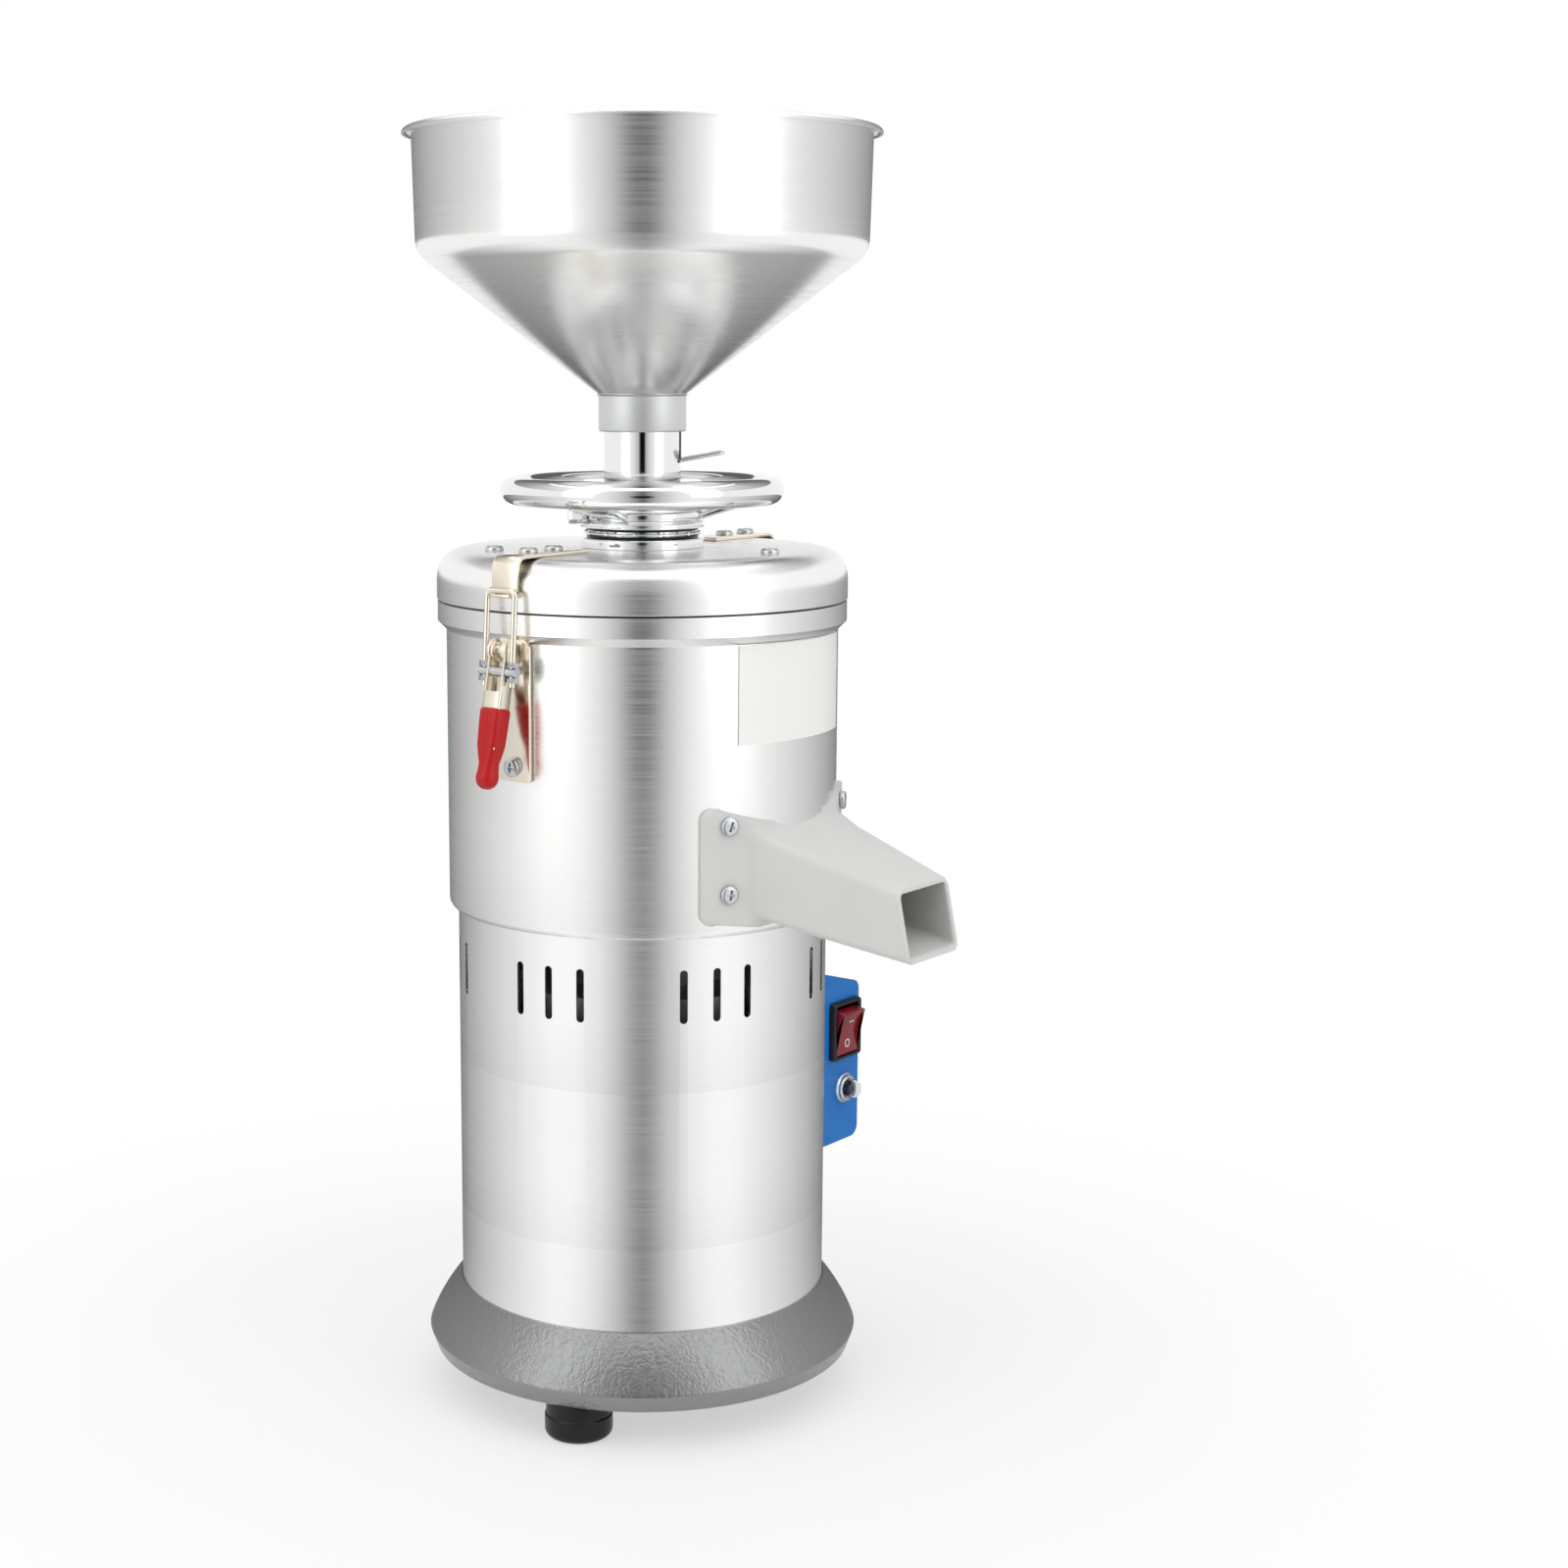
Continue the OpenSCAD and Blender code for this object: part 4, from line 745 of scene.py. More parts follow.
screw = bmesh.new()
dome = [(head_flat_r + (head_r - head_flat_r) * cos(a), head_h * (0.42 + 0.56 * sin(a)))
        for a in [radians(k * 15) for k in range(7)]]
path = [(shank_r, -shank_l), (shank_r, 0), (head_r - 0.2, 0), (head_r, 0.3)] + dome
round_steps = [2 * pi * k / head_sides for k in range(head_sides)]
rings = bridged(screw, [[(r * cos(a), r * sin(a), z) for a in round_steps] for r, z in path],
                closed=False)
screw.faces.new(rings[0][::-1])
cross = []
for quarter in range(4):
    spin = turn_about("Z", quarter * pi / 2)
    for x, y in ((recess_half, recess_half), (recess_half, recess_arm), (-recess_half, recess_arm)):
        cross.append(spin @ Vector((x, y, 0)))
head_top = dome[-1][1]
upper, lower = bridged(screw, [
    [(p.x, p.y, head_top) for p in cross],
    [(p.x * recess_taper, p.y * recess_taper, head_top - recess_deep) for p in cross]],
                       closed=False)


def edges_round(solid, ring):
    """The edges that join a loop of corners."""
    return [solid.edges.get(pair) for pair in zip(ring, ring[1:] + ring[:1])]


bmesh.ops.triangle_fill(screw, edges=edges_round(screw, lower))
bmesh.ops.triangle_fill(screw, use_beauty=True,
                        edges=edges_round(screw, rings[-1]) + edges_round(screw, upper))
screw_part = pattern_part("pan head screw", screw, zinc_plate)

# Copies of a part on given points, each facing its point's way and turned by chance
point_tree, given = new_tree("parts on points", ("Geometry", "Geometry"), ("Part", "Object"),
                             ("Finish", "Material"), ("Seed", "Int"), ("Most turn", "Float"))
part = add_node(point_tree, "GeometryNodeObjectInfo", Object=given["Part"]).outputs["Geometry"]
way = add_node(point_tree, "GeometryNodeInputNamedAttribute", {"data_type": "FLOAT_VECTOR"},
               Name="facing")
facing = add_node(point_tree, "FunctionNodeAlignRotationToVector", {"axis": "Z"},
                  Vector=way.outputs[0])
chance = add_node(point_tree, "FunctionNodeRandomValue", _3=given["Most turn"], Seed=given["Seed"])
spin = add_node(point_tree, "ShaderNodeCombineXYZ", Z=chance.outputs[1])
rotation = add_node(point_tree, "FunctionNodeRotateRotation", {"rotation_space": "LOCAL"},
                    Rotation=facing.outputs[0], Rotate_By=spin.outputs[0])
copies = add_node(point_tree, "GeometryNodeInstanceOnPoints", Points=given["Geometry"],
                  Instance=part, Rotation=rotation.outputs[0])
end_tree(point_tree, given, copies.outputs[0])


def placed(places, values):
    """Copies of a part at (point in mm, facing) places, as one mesh."""
    points = bpy.data.meshes.new("places")
    points.from_pydata([Vector(at) * MM for at, _ in places], [], [])
    points.attributes.new("facing", "FLOAT_VECTOR", "POINT").data.foreach_set(
        "vector", [c for _, way in places for c in way])
    return grown(point_tree, values, points)


def out_of(angle, radius, z):
    """A place on an upright wall, facing out of it."""
    a = radians(angle)
    return (radius * cos(a), radius * sin(a), z), (cos(a), sin(a), 0)


def up_from(angle, radius, z):
    """A place on a flat top, facing up."""
    a = radians(angle)
    return (radius * cos(a), radius * sin(a), z), (0, 0, 1)


screw_groups = {
    "lid_screws": [up_from(a, lid_screw_r, lid_top) for a in lid_screw_angles]
    + [up_from(a, r, lid_top + strap_t) for r in keeper_screw_rs for a in (0, 180)],
    "spout_screws": [out_of(a, spout_face_r, z)
                     for a in spout_screw_angles for z in spout_screw_zs],
    "latch_screws": [out_of(a, latch_face_r, latch_screw_z) for a in (0, 180)],
}
for seed, (node, places) in enumerate(screw_groups.items()):
    hang(node[:-1] + "_heads", placed(places, {
        "Part": screw_part, "Finish": zinc_plate, "Seed": seed, "Most turn": pi}),
         "machine", [node])


# ---- Label plate ----
# A blank pale label of satin film, stuck on the drum between the lid and the spout. It lies in
# soft ripples, as a film does on a round wall.

label_film, tree, shader = new_finish("blank satin film", {
    "Base Color": srgb("#F0F0EE"), "Roughness": 0.32, "Coat Weight": 0.3, "Coat Roughness": 0.12})
emboss(tree, shader, noise(tree, 14, 1), strength=0.1, depth=0.2)
dress(label_film, "label_plate")


# ---- Lid ----
# A cast stainless lid, turned on a lathe and polished, with a low dome edge and a flat top. Its
# turning marks run round, so a flat top throws the light in streaks from the middle.

lid_low = levels(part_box("lid_gasket"))[1]
lid_r = 105.3
lid_wall = 4.0
dome_foot = 8.0
dome_w = 22.6
lid_bore = 25.05
lid_hub_r = 34.0
lid_hub_h = 18.0
spigot_r = 96.4
spigot_h = 8.0


def lathe_turned(name, colour, roughness, pitch):
    """Metal turned on a lathe: fine rings round the axis, on tops as well as on walls."""
    material, tree, shader = new_finish(name, {"Base Color": srgb(colour), "Metallic": 1.0,
                                               "Roughness": roughness, "Anisotropic": 0.5})
    place = add_node(tree, "ShaderNodeTexCoord").outputs["Object"]
    flat = add_node(tree, "ShaderNodeVectorMath", {"operation": "MULTIPLY"}, _0=place, _1=(1, 1, 0))
    reach = add_node(tree, "ShaderNodeVectorMath", {"operation": "LENGTH"},
                     _0=flat.outputs[0]).outputs["Value"]
    height = add_node(tree, "ShaderNodeSeparateXYZ", Vector=place).outputs["Z"]
    marks = add_node(tree, "ShaderNodeTexNoise", {"noise_dimensions": "1D"},
                     W=worked_out(tree, "SUBTRACT", reach, height),
                     Scale=1 / (pitch * MM), Detail=2).outputs[0]
    haze(tree, shader, marks, (0.3, 0.7), (roughness - 0.04, roughness + 0.04))
    emboss(tree, shader, marks, strength=0.03, depth=0.02)
    return material


def lid_dome(inset):
    """The dome's outline from its foot to the flat top, drawn in by inset."""
    return [(lid_r - dome_w + (dome_w - inset) * cos(a) ** 0.62,
             lid_low + dome_foot + (lid_top - lid_low - dome_foot - inset) * sin(a) ** 0.8)
            for a in [radians(k * 3.75) for k in range(25)]]


turned_lid = lathe_turned("turned stainless lid", "#F4F4F3", 0.26, 0.5)
lid = bmesh.new()
turned(lid, [(lid_r - 0.5, lid_low), (lid_r, lid_low + 0.5)] + lid_dome(0)
       + [(lid_bore, lid_top), (lid_bore, lid_top - lid_hub_h), (lid_hub_r, lid_top - lid_hub_h),
          (lid_hub_r, lid_top - lid_wall)] + lid_dome(lid_wall)[::-1]
       + [(spigot_r - lid_wall, lid_low + 4), (spigot_r - lid_wall, lid_low - spigot_h),
          (spigot_r, lid_low - spigot_h), (spigot_r, lid_low)], turns=192)
add_piece("turned_lid", lid, turned_lid, "machine", ["lid"])


# ---- Boss ring and thrust bearing ----
# A chromed ring on the lid carries a ball bearing: dark steel races, a thin bright cage and
# twelve balls that show at its edge. The wheel's hub turns on it.

boss_ring_r = 31.6
boss_ring_h = 5.0
ring_in = 25.4
turned_chrome = lathe_turned("turned chrome plate", "#EAEBEC", 0.11, 0.3)
boss = bmesh.new()
turned(boss, rounded_outline([(ring_in, lid_top, 0.3), (boss_ring_r, lid_top, 0.4),
                              (boss_ring_r, lid_top + boss_ring_h, 1.0),
                              (ring_in, lid_top + boss_ring_h, 0.3)]))
add_piece("polished_boss_ring", boss, turned_chrome, "machine", ["boss_ring"])

race_low, race_high = levels(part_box("thrust_bearing"))
race_r = 28.6
race_t = 1.2
cage_r = 30.3
cage_t = 0.9
ball_r = 1.15
ball_ring_r = 29.25
ball_count = 12
# Painted shade: the races are coloured near black, standing in for the shade in the narrow gaps
# above and below the bright cage
gap_shade_race_steel, tree, shader = new_finish("blued bearing steel", {
    "Base Color": srgb("#2A2C30"), "Metallic": 0.9, "Roughness": 0.3})
haze(tree, shader, noise(tree, 5, 2), (0, 1), (0.2, 0.42))
races = bmesh.new()
for low in (race_low, race_high - race_t):
    turned(races, rounded_outline([
        (ring_in, low, 0.2), (race_r, low, 0.3), (race_r, low + race_t, 0.3),
        (ring_in, low + race_t, 0.2)], 3), turns=96)
add_piece("bearing_races", races, gap_shade_race_steel, "machine", ["thrust_bearing"])
race_mid = (race_low + race_high) / 2
cage = bmesh.new()
turned(cage, rounded_outline([
    (ring_in, race_mid - cage_t / 2, 0.1), (cage_r, race_mid - cage_t / 2, 0.4),
    (cage_r, race_mid + cage_t / 2, 0.4), (ring_in, race_mid + cage_t / 2, 0.1)], 3))
add_piece("bearing_cage", cage, turned_chrome, "machine", ["thrust_bearing"])
ball = bmesh.new()
bmesh.ops.create_uvsphere(ball, u_segments=20, v_segments=12, radius=ball_r)
hang("bearing_balls", grown(ring_tree, {
    "Part": pattern_part("bearing ball", ball, chrome_plate), "Finish": chrome_plate,
    "Count": ball_count, "Radius": ball_ring_r * MM, "Phase": 0.0,
    "Centre": (0, 0, race_mid * MM)}), "machine", ["thrust_bearing"])


# ---- Handwheel ----
# A chromed steel ring on three flat spokes, welded to a turned hub that has a groove above its
# lower band.

wheel_low, wheel_high = levels(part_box("handwheel_rim"))
rim_z = (wheel_low + wheel_high) / 2
rim_half = (wheel_high - wheel_low) / 2
wheel_r = 65.5
spoke_w = 17.5
spoke_t = 3.2
spoke_in = 29.4
spoke_out = 61.0
spoke_foot_z = 457.7
spoke_slope = radians(17.87)
spoke_angles = (-172, -52, 68)
spoke_edge = 1.1

rim = bmesh.new()
turned(rim, [(wheel_r + rim_half * cos(a), rim_z + rim_half * sin(a))
             for a in [radians(k * 7.5) for k in range(48)]], turns=160)
add_piece("chrome_rim", rim, chrome_plate, "handwheel", ["handwheel_rim"])

spokes = bmesh.new()
spoke_l = (spoke_out - spoke_in) / cos(spoke_slope)
for angle in spoke_angles:
    bar = bmesh.new()
    bmesh.ops.create_cube(bar, size=1.0)
    bmesh.ops.scale(bar, vec=(spoke_l, spoke_w, spoke_t), verts=bar.verts)
    bmesh.ops.bevel(bar, geom=bar.edges[:], offset=spoke_edge, segments=4, profile=0.5,
                    affect="EDGES")
    place = (turn_about("Z", radians(angle)) @ shift(spoke_in, 0, spoke_foot_z)
             @ turn_about("Y", -spoke_slope) @ shift(spoke_l / 2, 0, 0))
    bar.transform(place)
    kept = bpy.data.meshes.new("spoke")
    bar.to_mesh(kept)
    bar.free()
    spokes.from_mesh(kept)
add_piece("chrome_spokes", spokes, chrome_plate, "handwheel", ["handwheel_spokes"])

hub_low, hub_high = levels(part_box("handwheel_hub"))
hub_bore = 22.05
hub_stem_r = 25.0
hub_clip_r = 23.5
hub_band_z = 452.0
hub_band_r = 31.6
hub_groove_r = 29.9
hub_top_r = 30.6
hub = bmesh.new()
turned(hub, [
    (hub_bore, hub_low), (hub_stem_r, hub_low), (hub_stem_r, hub_low + 2),
    (hub_clip_r, hub_low + 2), (hub_clip_r, hub_low + 4.5), (hub_stem_r, hub_low + 4.5),
    (hub_stem_r, hub_band_z),
    (hub_band_r - 0.8, hub_band_z), (hub_band_r - 0.25, hub_band_z + 0.25),
    (hub_band_r, hub_band_z + 0.8), (hub_band_r, hub_band_z + 2.7),
    (hub_band_r - 0.25, hub_band_z + 3.2), (hub_band_r - 0.9, hub_band_z + 3.5),
    (hub_groove_r + 0.2, hub_band_z + 3.6), (hub_groove_r, hub_band_z + 4.0),
    (hub_groove_r + 0.2, hub_band_z + 4.4), (hub_top_r - 0.1, hub_band_z + 4.6),
    (hub_top_r, hub_band_z + 5.0), (hub_top_r, hub_high - 1.4), (hub_top_r - 0.25, hub_high - 0.7),
    (hub_top_r - 0.7, hub_high - 0.2), (hub_top_r - 1.4, hub_high),
    (hub_bore + 0.85, hub_high), (hub_bore, hub_high - 0.9)], turns=160)
add_piece("turned_hub", hub, turned_chrome, "handwheel", ["handwheel_hub"], crease=30)


# ---- Lock screw ----
# A chromed hexagon screw in the hub's side. Tightened, it holds the wheel where it was set.

lock_angle = radians(143)
lock_z = 458.7
lock_foot = 31.9
lock_head = 7.0
lock_r = 4.6
lock_collar_t = 0.7
lock_shank = 2.5
lock_shank_l = 9.0


def six_sided(solid, place, stations):
    """Adds a hexagon bar given as (distance along, radius) stations, with capped ends."""
    loops = [[place @ Vector((r * cos(k * pi / 3), r * sin(k * pi / 3), x))
              for k in range(6)] for x, r in stations]
    rows = bridged(solid, loops, closed=False)
    solid.faces.new(rows[0])
    solid.faces.new(rows[-1])


place = turn_about("Z", lock_angle) @ shift(lock_foot, 0, lock_z) @ turn_about("Y", pi / 2)
lock = bmesh.new()
six_sided(lock, place, [(0.5, lock_r - 0.4), (0.9, lock_r), (lock_head - 0.7, lock_r),
                        (lock_head, lock_r - 0.8)])
turned(lock, rounded_outline([(0, 0, 0), (lock_r, 0, 0.2), (lock_r, lock_collar_t, 0.2),
                              (0, lock_collar_t, 0)], 3), place, turns=48)
turned(lock, [(0, -lock_shank_l), (lock_shank - 0.5, -lock_shank_l),
              (lock_shank, 0.5 - lock_shank_l), (lock_shank, 0.1), (0, 0.1)], place, turns=32)
add_piece("hexagon_lock_screw", lock, chrome_plate, "lock_screw", ["lock_screw"])


# ---- Feed sleeve and gate ----
# A chromed tube, its thread inside the hub left as a plain cylinder. It carries the upper burr
# and lifts it as the wheel turns. A stainless slide closes its slot, and shuts off the nuts.

dress(chrome_plate, "feed_sleeve")

gate_angle = radians(-45)
gate_tilt = radians(10)
gate_z = 482.5
gate_in = 17.9
gate_l = 23.9
gate_w = 19.8
gate_t = 1.4
gate_corner = 2.5


def drawn_in(points, inset):
    """A closed outline moved inward by inset, corner by corner."""
    area = sum(points[i - 1].x * p.y - p.x * points[i - 1].y for i, p in enumerate(points))
    side = 1 if area > 0 else -1
    moved = []
    for i, p in enumerate(points):
        back = (p - points[i - 1]).normalized()
        ahead = (points[(i + 1) % len(points)] - p).normalized()
        normal = Vector((-back.y - ahead.y, back.x + ahead.x)).normalized() * side
        shrink = max(normal.dot(Vector((-back.y, back.x)) * side), 0.5)
        moved.append(p + normal * inset / shrink)
    return moved


def slab(solid, outline, low, high, place, edge=0.4):
    """Adds a plate with this outline between two levels of place's Z axis, its edges eased."""
    stations = [(low, edge), (low + 0.3 * edge, 0.3 * edge), (low + edge, 0), (high - edge, 0),
                (high - 0.3 * edge, 0.3 * edge), (high, edge)]
    rows = bridged(solid, [[place @ Vector((p.x, p.y, z)) for p in drawn_in(outline, inset)]
                           for z, inset in stations], closed=False)
    solid.faces.new(rows[0])
    solid.faces.new(rows[-1])


satin_stainless = brushed_stainless("satin stainless strip", "#DDDEDF", 0.28)
gate = bmesh.new()
place = turn_about("Z", gate_angle) @ shift(0, 0, gate_z) @ turn_about("Y", -gate_tilt)
slab(gate, rounded_outline([
    (gate_in, -gate_w / 2, 0.6), (gate_in + gate_l, -gate_w / 2, gate_corner),
    (gate_in + gate_l, gate_w / 2, gate_corner), (gate_in, gate_w / 2, 0.6)]),
     -gate_t / 2, gate_t / 2, place, edge=0.35)
add_piece("feed_slide", gate, satin_stainless, "gate", ["feed_gate"])


# ---- Hopper ----
# A spun stainless bowl with a rolled rim, welded to a turned collar that slips over the tube.

collar_low, cone_z = levels(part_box("hopper_collar"))
tube_top = 516.0
collar_r = 22.3
collar_bore = 19.75
throat_r = 17.5
cone_slope = radians(38)
bowl_r = 115.4
bowl_wall = 1.2
knee_r = 14.0
wall_lean = 1.3
knee_steps = 14
roll_r = 3.0
roll_steps = 12
roll_z = levels(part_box("hopper_bowl"))[1] - roll_r

spun_steel = brushed_stainless("spun and brushed bowl", "#F4F4F3", 0.24)
matt_steel = lathe_turned("matt turned collar", "#D2D3D4", 0.42, 0.35)

knee_z = cone_z + (bowl_r - knee_r - collar_r) * tan(cone_slope)
wall_z = knee_z + knee_r * 1.1


def knee(inset):
    """The rounded knee between the cone and the wall, drawn in by inset."""
    start = cone_slope - pi / 2
    middle = bowl_r - wall_lean - knee_r
    return [(middle + (knee_r - inset) * cos(a), wall_z + (knee_r - inset) * sin(a))
            for a in [start - k * start / knee_steps for k in range(knee_steps + 1)]]


def roll(radius, turn_from, turn_to):
    """An arc of the rolled rim about its middle."""
    return [(bowl_r + roll_r - bowl_wall + radius * cos(a), roll_z + radius * sin(a))
            for a in [radians(turn_from + k * (turn_to - turn_from) / roll_steps)
                      for k in range(roll_steps + 1)]]


bowl = bmesh.new()
turned(bowl, [(throat_r, cone_z), (collar_r, cone_z)] + knee(0)
       + roll(roll_r - bowl_wall, 180, 0) + roll(roll_r, 0, 180) + knee(bowl_wall)[::-1]
       + [(collar_r - 0.4, cone_z + bowl_wall + 0.3), (throat_r, cone_z + bowl_wall - 0.6)],
       turns=192)
add_piece("spun_hopper", bowl, spun_steel, "hopper", ["hopper_bowl"], crease=30)

collar = bmesh.new()
turned(collar, rounded_outline([
    (collar_bore, collar_low, 0.4), (collar_r, collar_low, 0.8), (collar_r, cone_z, 0.3),
    (throat_r, cone_z, 0), (throat_r, tube_top, 0), (collar_bore, tube_top, 0)], 4))
add_piece("turned_collar", collar, matt_steel, "hopper", ["hopper_collar"])

# The weld bead round the neck, with ripples of about 1 mm
weld_bead, tree, shader = new_finish("blended weld bead", {
    "Base Color": srgb("#C4C5C6"), "Metallic": 1.0, "Roughness": 0.4})
emboss(tree, shader, noise(tree, 1.2, 1), strength=0.5, depth=0.3)
bead = bmesh.new()
turned(bead, [(collar_r - 0.2 + 0.9 * cos(a), cone_z + 0.1 + 0.8 * sin(a))
              for a in [k * pi / 5 for k in range(10)]], turns=96)
add_piece("neck_weld", bead, weld_bead, "hopper")


# ---- Latches ----
# Two over-centre latches of bright nickel plated steel. Each has a screwed plate with two ears,
# a lever of two cheeks with a red vinyl grip, and a wire hook that pulls down a strap.

nickel_plate, tree, shader = new_finish("bright nickel plate", {
    "Base Color": srgb("#F2E9D9"), "Metallic": 1.0, "Roughness": 0.2})
haze(tree, shader, noise(tree, 7, 3), (0.3, 0.7), (0.14, 0.27))

plate_u = 100.65
plate_t = 2.0
plate_w = 22.0
plate_low, plate_high = levels(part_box("latch_plates"))
pivot_u = 109.5
pivot_z = 398.0
ear_in = 2.4
ear_t = 1.4
ear_r = 5.0
pin_r = 2.5
pin_half = 5.6
cheek_in = 4.1
cheek_t = 1.4
cheek_n = 4.0
cheek_r = 5.5
lever_l = 48.0
web_top = 20.0
lever_lean = radians(11.3)
keeper_in = 53.0
keeper_out = 107.9
keeper_w = 16.0
ledge_tip = 111.6
ledge_z = 425.2
ledge_w = 11.8
# The grip's slices down the lever: depth, half thickness, half width and corner radius
grip_slices = [(28.0, 4.2, 5.4, 2.2), (28.5, 5.0, 6.2, 2.6), (29.8, 5.45, 6.6, 3.0),
               (38, 5.4, 6.5, 3.2), (46, 5.3, 6.3, 3.4), (51, 4.9, 5.6, 3.8), (55, 4.5, 4.9, 4.2),
               (58, 4.8, 5.1, 4.6), (60.5, 5.35, 5.45, 5.2), (62.2, 5.6, 5.6, 5.5),
               (64.2, 5.25, 5.25, 5.2), (66, 4.1, 4.1, 4.0), (67.2, 2.4, 2.4, 2.3),
               (67.55, 0.9, 0.9, 0.85)]
seam_half = 0.45
seam_up = 0.22
seam_sunk = 0.5

# Dipped vinyl: a glossy deep red skin over the lever, with soft waves where it was dipped
red_vinyl, tree, shader = new_finish("dipped red vinyl", {
    "Base Color": srgb("#B40604"), "Roughness": 0.38, "Specular IOR Level": 0.3,
    "Coat Weight": 0.15, "Coat Roughness": 0.12})
emboss(tree, shader, noise(tree, 6, 1), strength=0.12, depth=0.3)


def standing(side, u, z, lean=0.0):
    """A frame at (u, z) whose X runs outward, Y up and Z across, on the right or left side."""
    return (turn_about("Z", side) @ shift(u, 0, z)
            @ turn_about("Y", -lean) @ turn_about("X", pi / 2))


def stadium(radius, length, half, steps=12):
    """A bar's outline: a round end at the pivot and a square end at its foot."""
    drop = sqrt(radius ** 2 - half ** 2)
    start = atan2(-drop, half)
    angles = [start + k * (pi - 2 * start) / (2 * steps) for k in range(2 * steps + 1)]
    return ([Vector((radius * cos(a), radius * sin(a))) for a in angles]
            + [Vector((-half, -length)), Vector((half, -length))])


plates, pins, straps = bmesh.new(), bmesh.new(), bmesh.new()
for side in (0, pi):
    face = (turn_about("Z", side) @ shift(plate_u, 0, 0)
            @ turn_about("Z", pi / 2) @ turn_about("X", pi / 2))
    slab(plates, rounded_outline([(-plate_w / 2, plate_low, 2), (plate_w / 2, plate_low, 2),
                                  (plate_w / 2, plate_high, 5), (-plate_w / 2, plate_high, 5)]),
         0, plate_t, face, edge=0.45)
    ear = standing(side, pivot_u, pivot_z)
    back = plate_u + plate_t / 2 - pivot_u
    arc = [(ear_r * cos(radians(a)), ear_r * sin(radians(a))) for a in range(-60, 61, 12)]
    tab = [Vector(p) for p in [(back, -8), (back + 1.2, -8)] + arc
           + [(back + 1.2, 2.9), (back, 2.9)]]
    for at in (ear_in, -ear_in - ear_t):
        slab(plates, tab, at, at + ear_t, ear, edge=0.25)
    half_pin = [(1.6, pin_half), (2.3, pin_half - 0.25), (pin_r, pin_half - 0.7)]
    turned(pins, [(0, -pin_half)] + [(r, -z) for r, z in half_pin] + half_pin[::-1]
           + [(0, pin_half)], ear, turns=32)
    upright = standing(side, 0, 0)
    inner = keeper_out - strap_t
    bend = rounded_outline([
        (keeper_in, lid_top, 0.8), (inner, lid_top, 5), (inner, ledge_z + 1.3, 0),
        (keeper_out, ledge_z + 1.3, 0), (keeper_out, lid_top + strap_t, 7),
        (keeper_in, lid_top + strap_t, 0.8)])
    slab(straps, bend, -keeper_w / 2, keeper_w / 2, upright, edge=0.4)
    hooked = rounded_outline([
        (inner, ledge_z + 1.6, 0), (inner, ledge_z - 2.4, 1.8), (ledge_tip, ledge_z - 1.5, 0.7),
        (ledge_tip, ledge_z + 0.25, 0.7), (keeper_out, ledge_z - 0.2, 1.2),
        (keeper_out, ledge_z + 1.6, 0)])
    slab(straps, hooked, -ledge_w / 2, ledge_w / 2, upright, edge=0.3)
add_piece("nickel_latch_plates", plates, nickel_plate, "machine", ["latch_plates"])
add_piece("domed_latch_pins", pins, nickel_plate, "machine", ["latch_pins"])
add_piece("bent_keeper_straps", straps, nickel_plate, "machine", ["keeper_straps"])

for name, side in (("right", 0), ("left", pi)):
    frame_up = standing(side, pivot_u, pivot_z, lever_lean)
    lever = bmesh.new()
    for at in (cheek_in, -cheek_in - cheek_t):
        slab(lever, stadium(cheek_r, lever_l, cheek_n), at, at + cheek_t, frame_up, edge=0.3)
    web_in = cheek_n - cheek_t
    web = [Vector(p) for p in ((web_in, -lever_l), (cheek_n, -lever_l), (cheek_n, -web_top),
                               (web_in, -web_top))]
    slab(lever, web, -cheek_in - cheek_t, cheek_in + cheek_t, frame_up, edge=0.25)
    add_piece(name + "_lever_cheeks", lever, nickel_plate, name + "_lever", [name + "_lever"])

    grip = bmesh.new()
    loops = []
    for depth, half_n, half_w, corner in grip_slices:
        ring = square_ring(2 * half_n, 2 * half_w, corner, 9)
        loops.append([frame_up @ Vector((p.x, -depth, p.y)) for p in ring])
    rows = bridged(grip, loops, closed=False)
    grip.faces.new(rows[0])
    grip.faces.new(rows[-1])
    seam = ((-seam_half, -seam_sunk), (-seam_half, 0), (0, seam_up), (seam_half, 0),
            (seam_half, -seam_sunk))
    for face_side in (-1, 1):
        ends = bridged(grip, [[frame_up @ Vector((face_side * (half_n + up), -depth, across))
                               for across, up in seam]
                              for depth, half_n, _, _ in grip_slices[2:11]], closed=False)
        grip.faces.new(ends[0])
        grip.faces.new(ends[-1])
    add_piece(name + "_vinyl_grip", grip, red_vinyl, name + "_lever", [name + "_grip"],
              crease=50)

dress(nickel_plate, "left_hook", "right_hook")
dress(zinc_plate, "left_hook_fittings", "right_hook_fittings")


# ---- Switch box ----
# A folded steel box with a screwed-on front, both powder coated blue, hung on the motor cover.

blue_coat, tree, shader = new_finish("blue powder coat", {
    "Base Color": srgb("#1C72C2"), "Roughness": 0.4, "Specular IOR Level": 0.3})
emboss(tree, shader, noise(tree, 1.1, 2), strength=0.14, depth=0.08)
dress(blue_coat, "switch_box", "switch_panel")
edge_ease = 0.7
for name in ("switch_box", "switch_panel"):
    weld = cad[name].modifiers.new("joined corners", "WELD")
    weld.merge_threshold = 0.01 * MM
    ease = cad[name].modifiers.new("eased edges", "BEVEL")
    ease.width = edge_ease * MM
    ease.segments = 3
    ease.limit_method = "ANGLE"
    ease.angle_limit = radians(50)

# The capacitor inside it: a cream plastic can with a faint moulded grain
cream_case, tree, shader = new_finish("cream moulded case", {
    "Base Color": srgb("#E6E3D8"), "Roughness": 0.45})
emboss(tree, shader, noise(tree, 0.7, 2), strength=0.1, depth=0.05)
dress(cream_case, "capacitor")


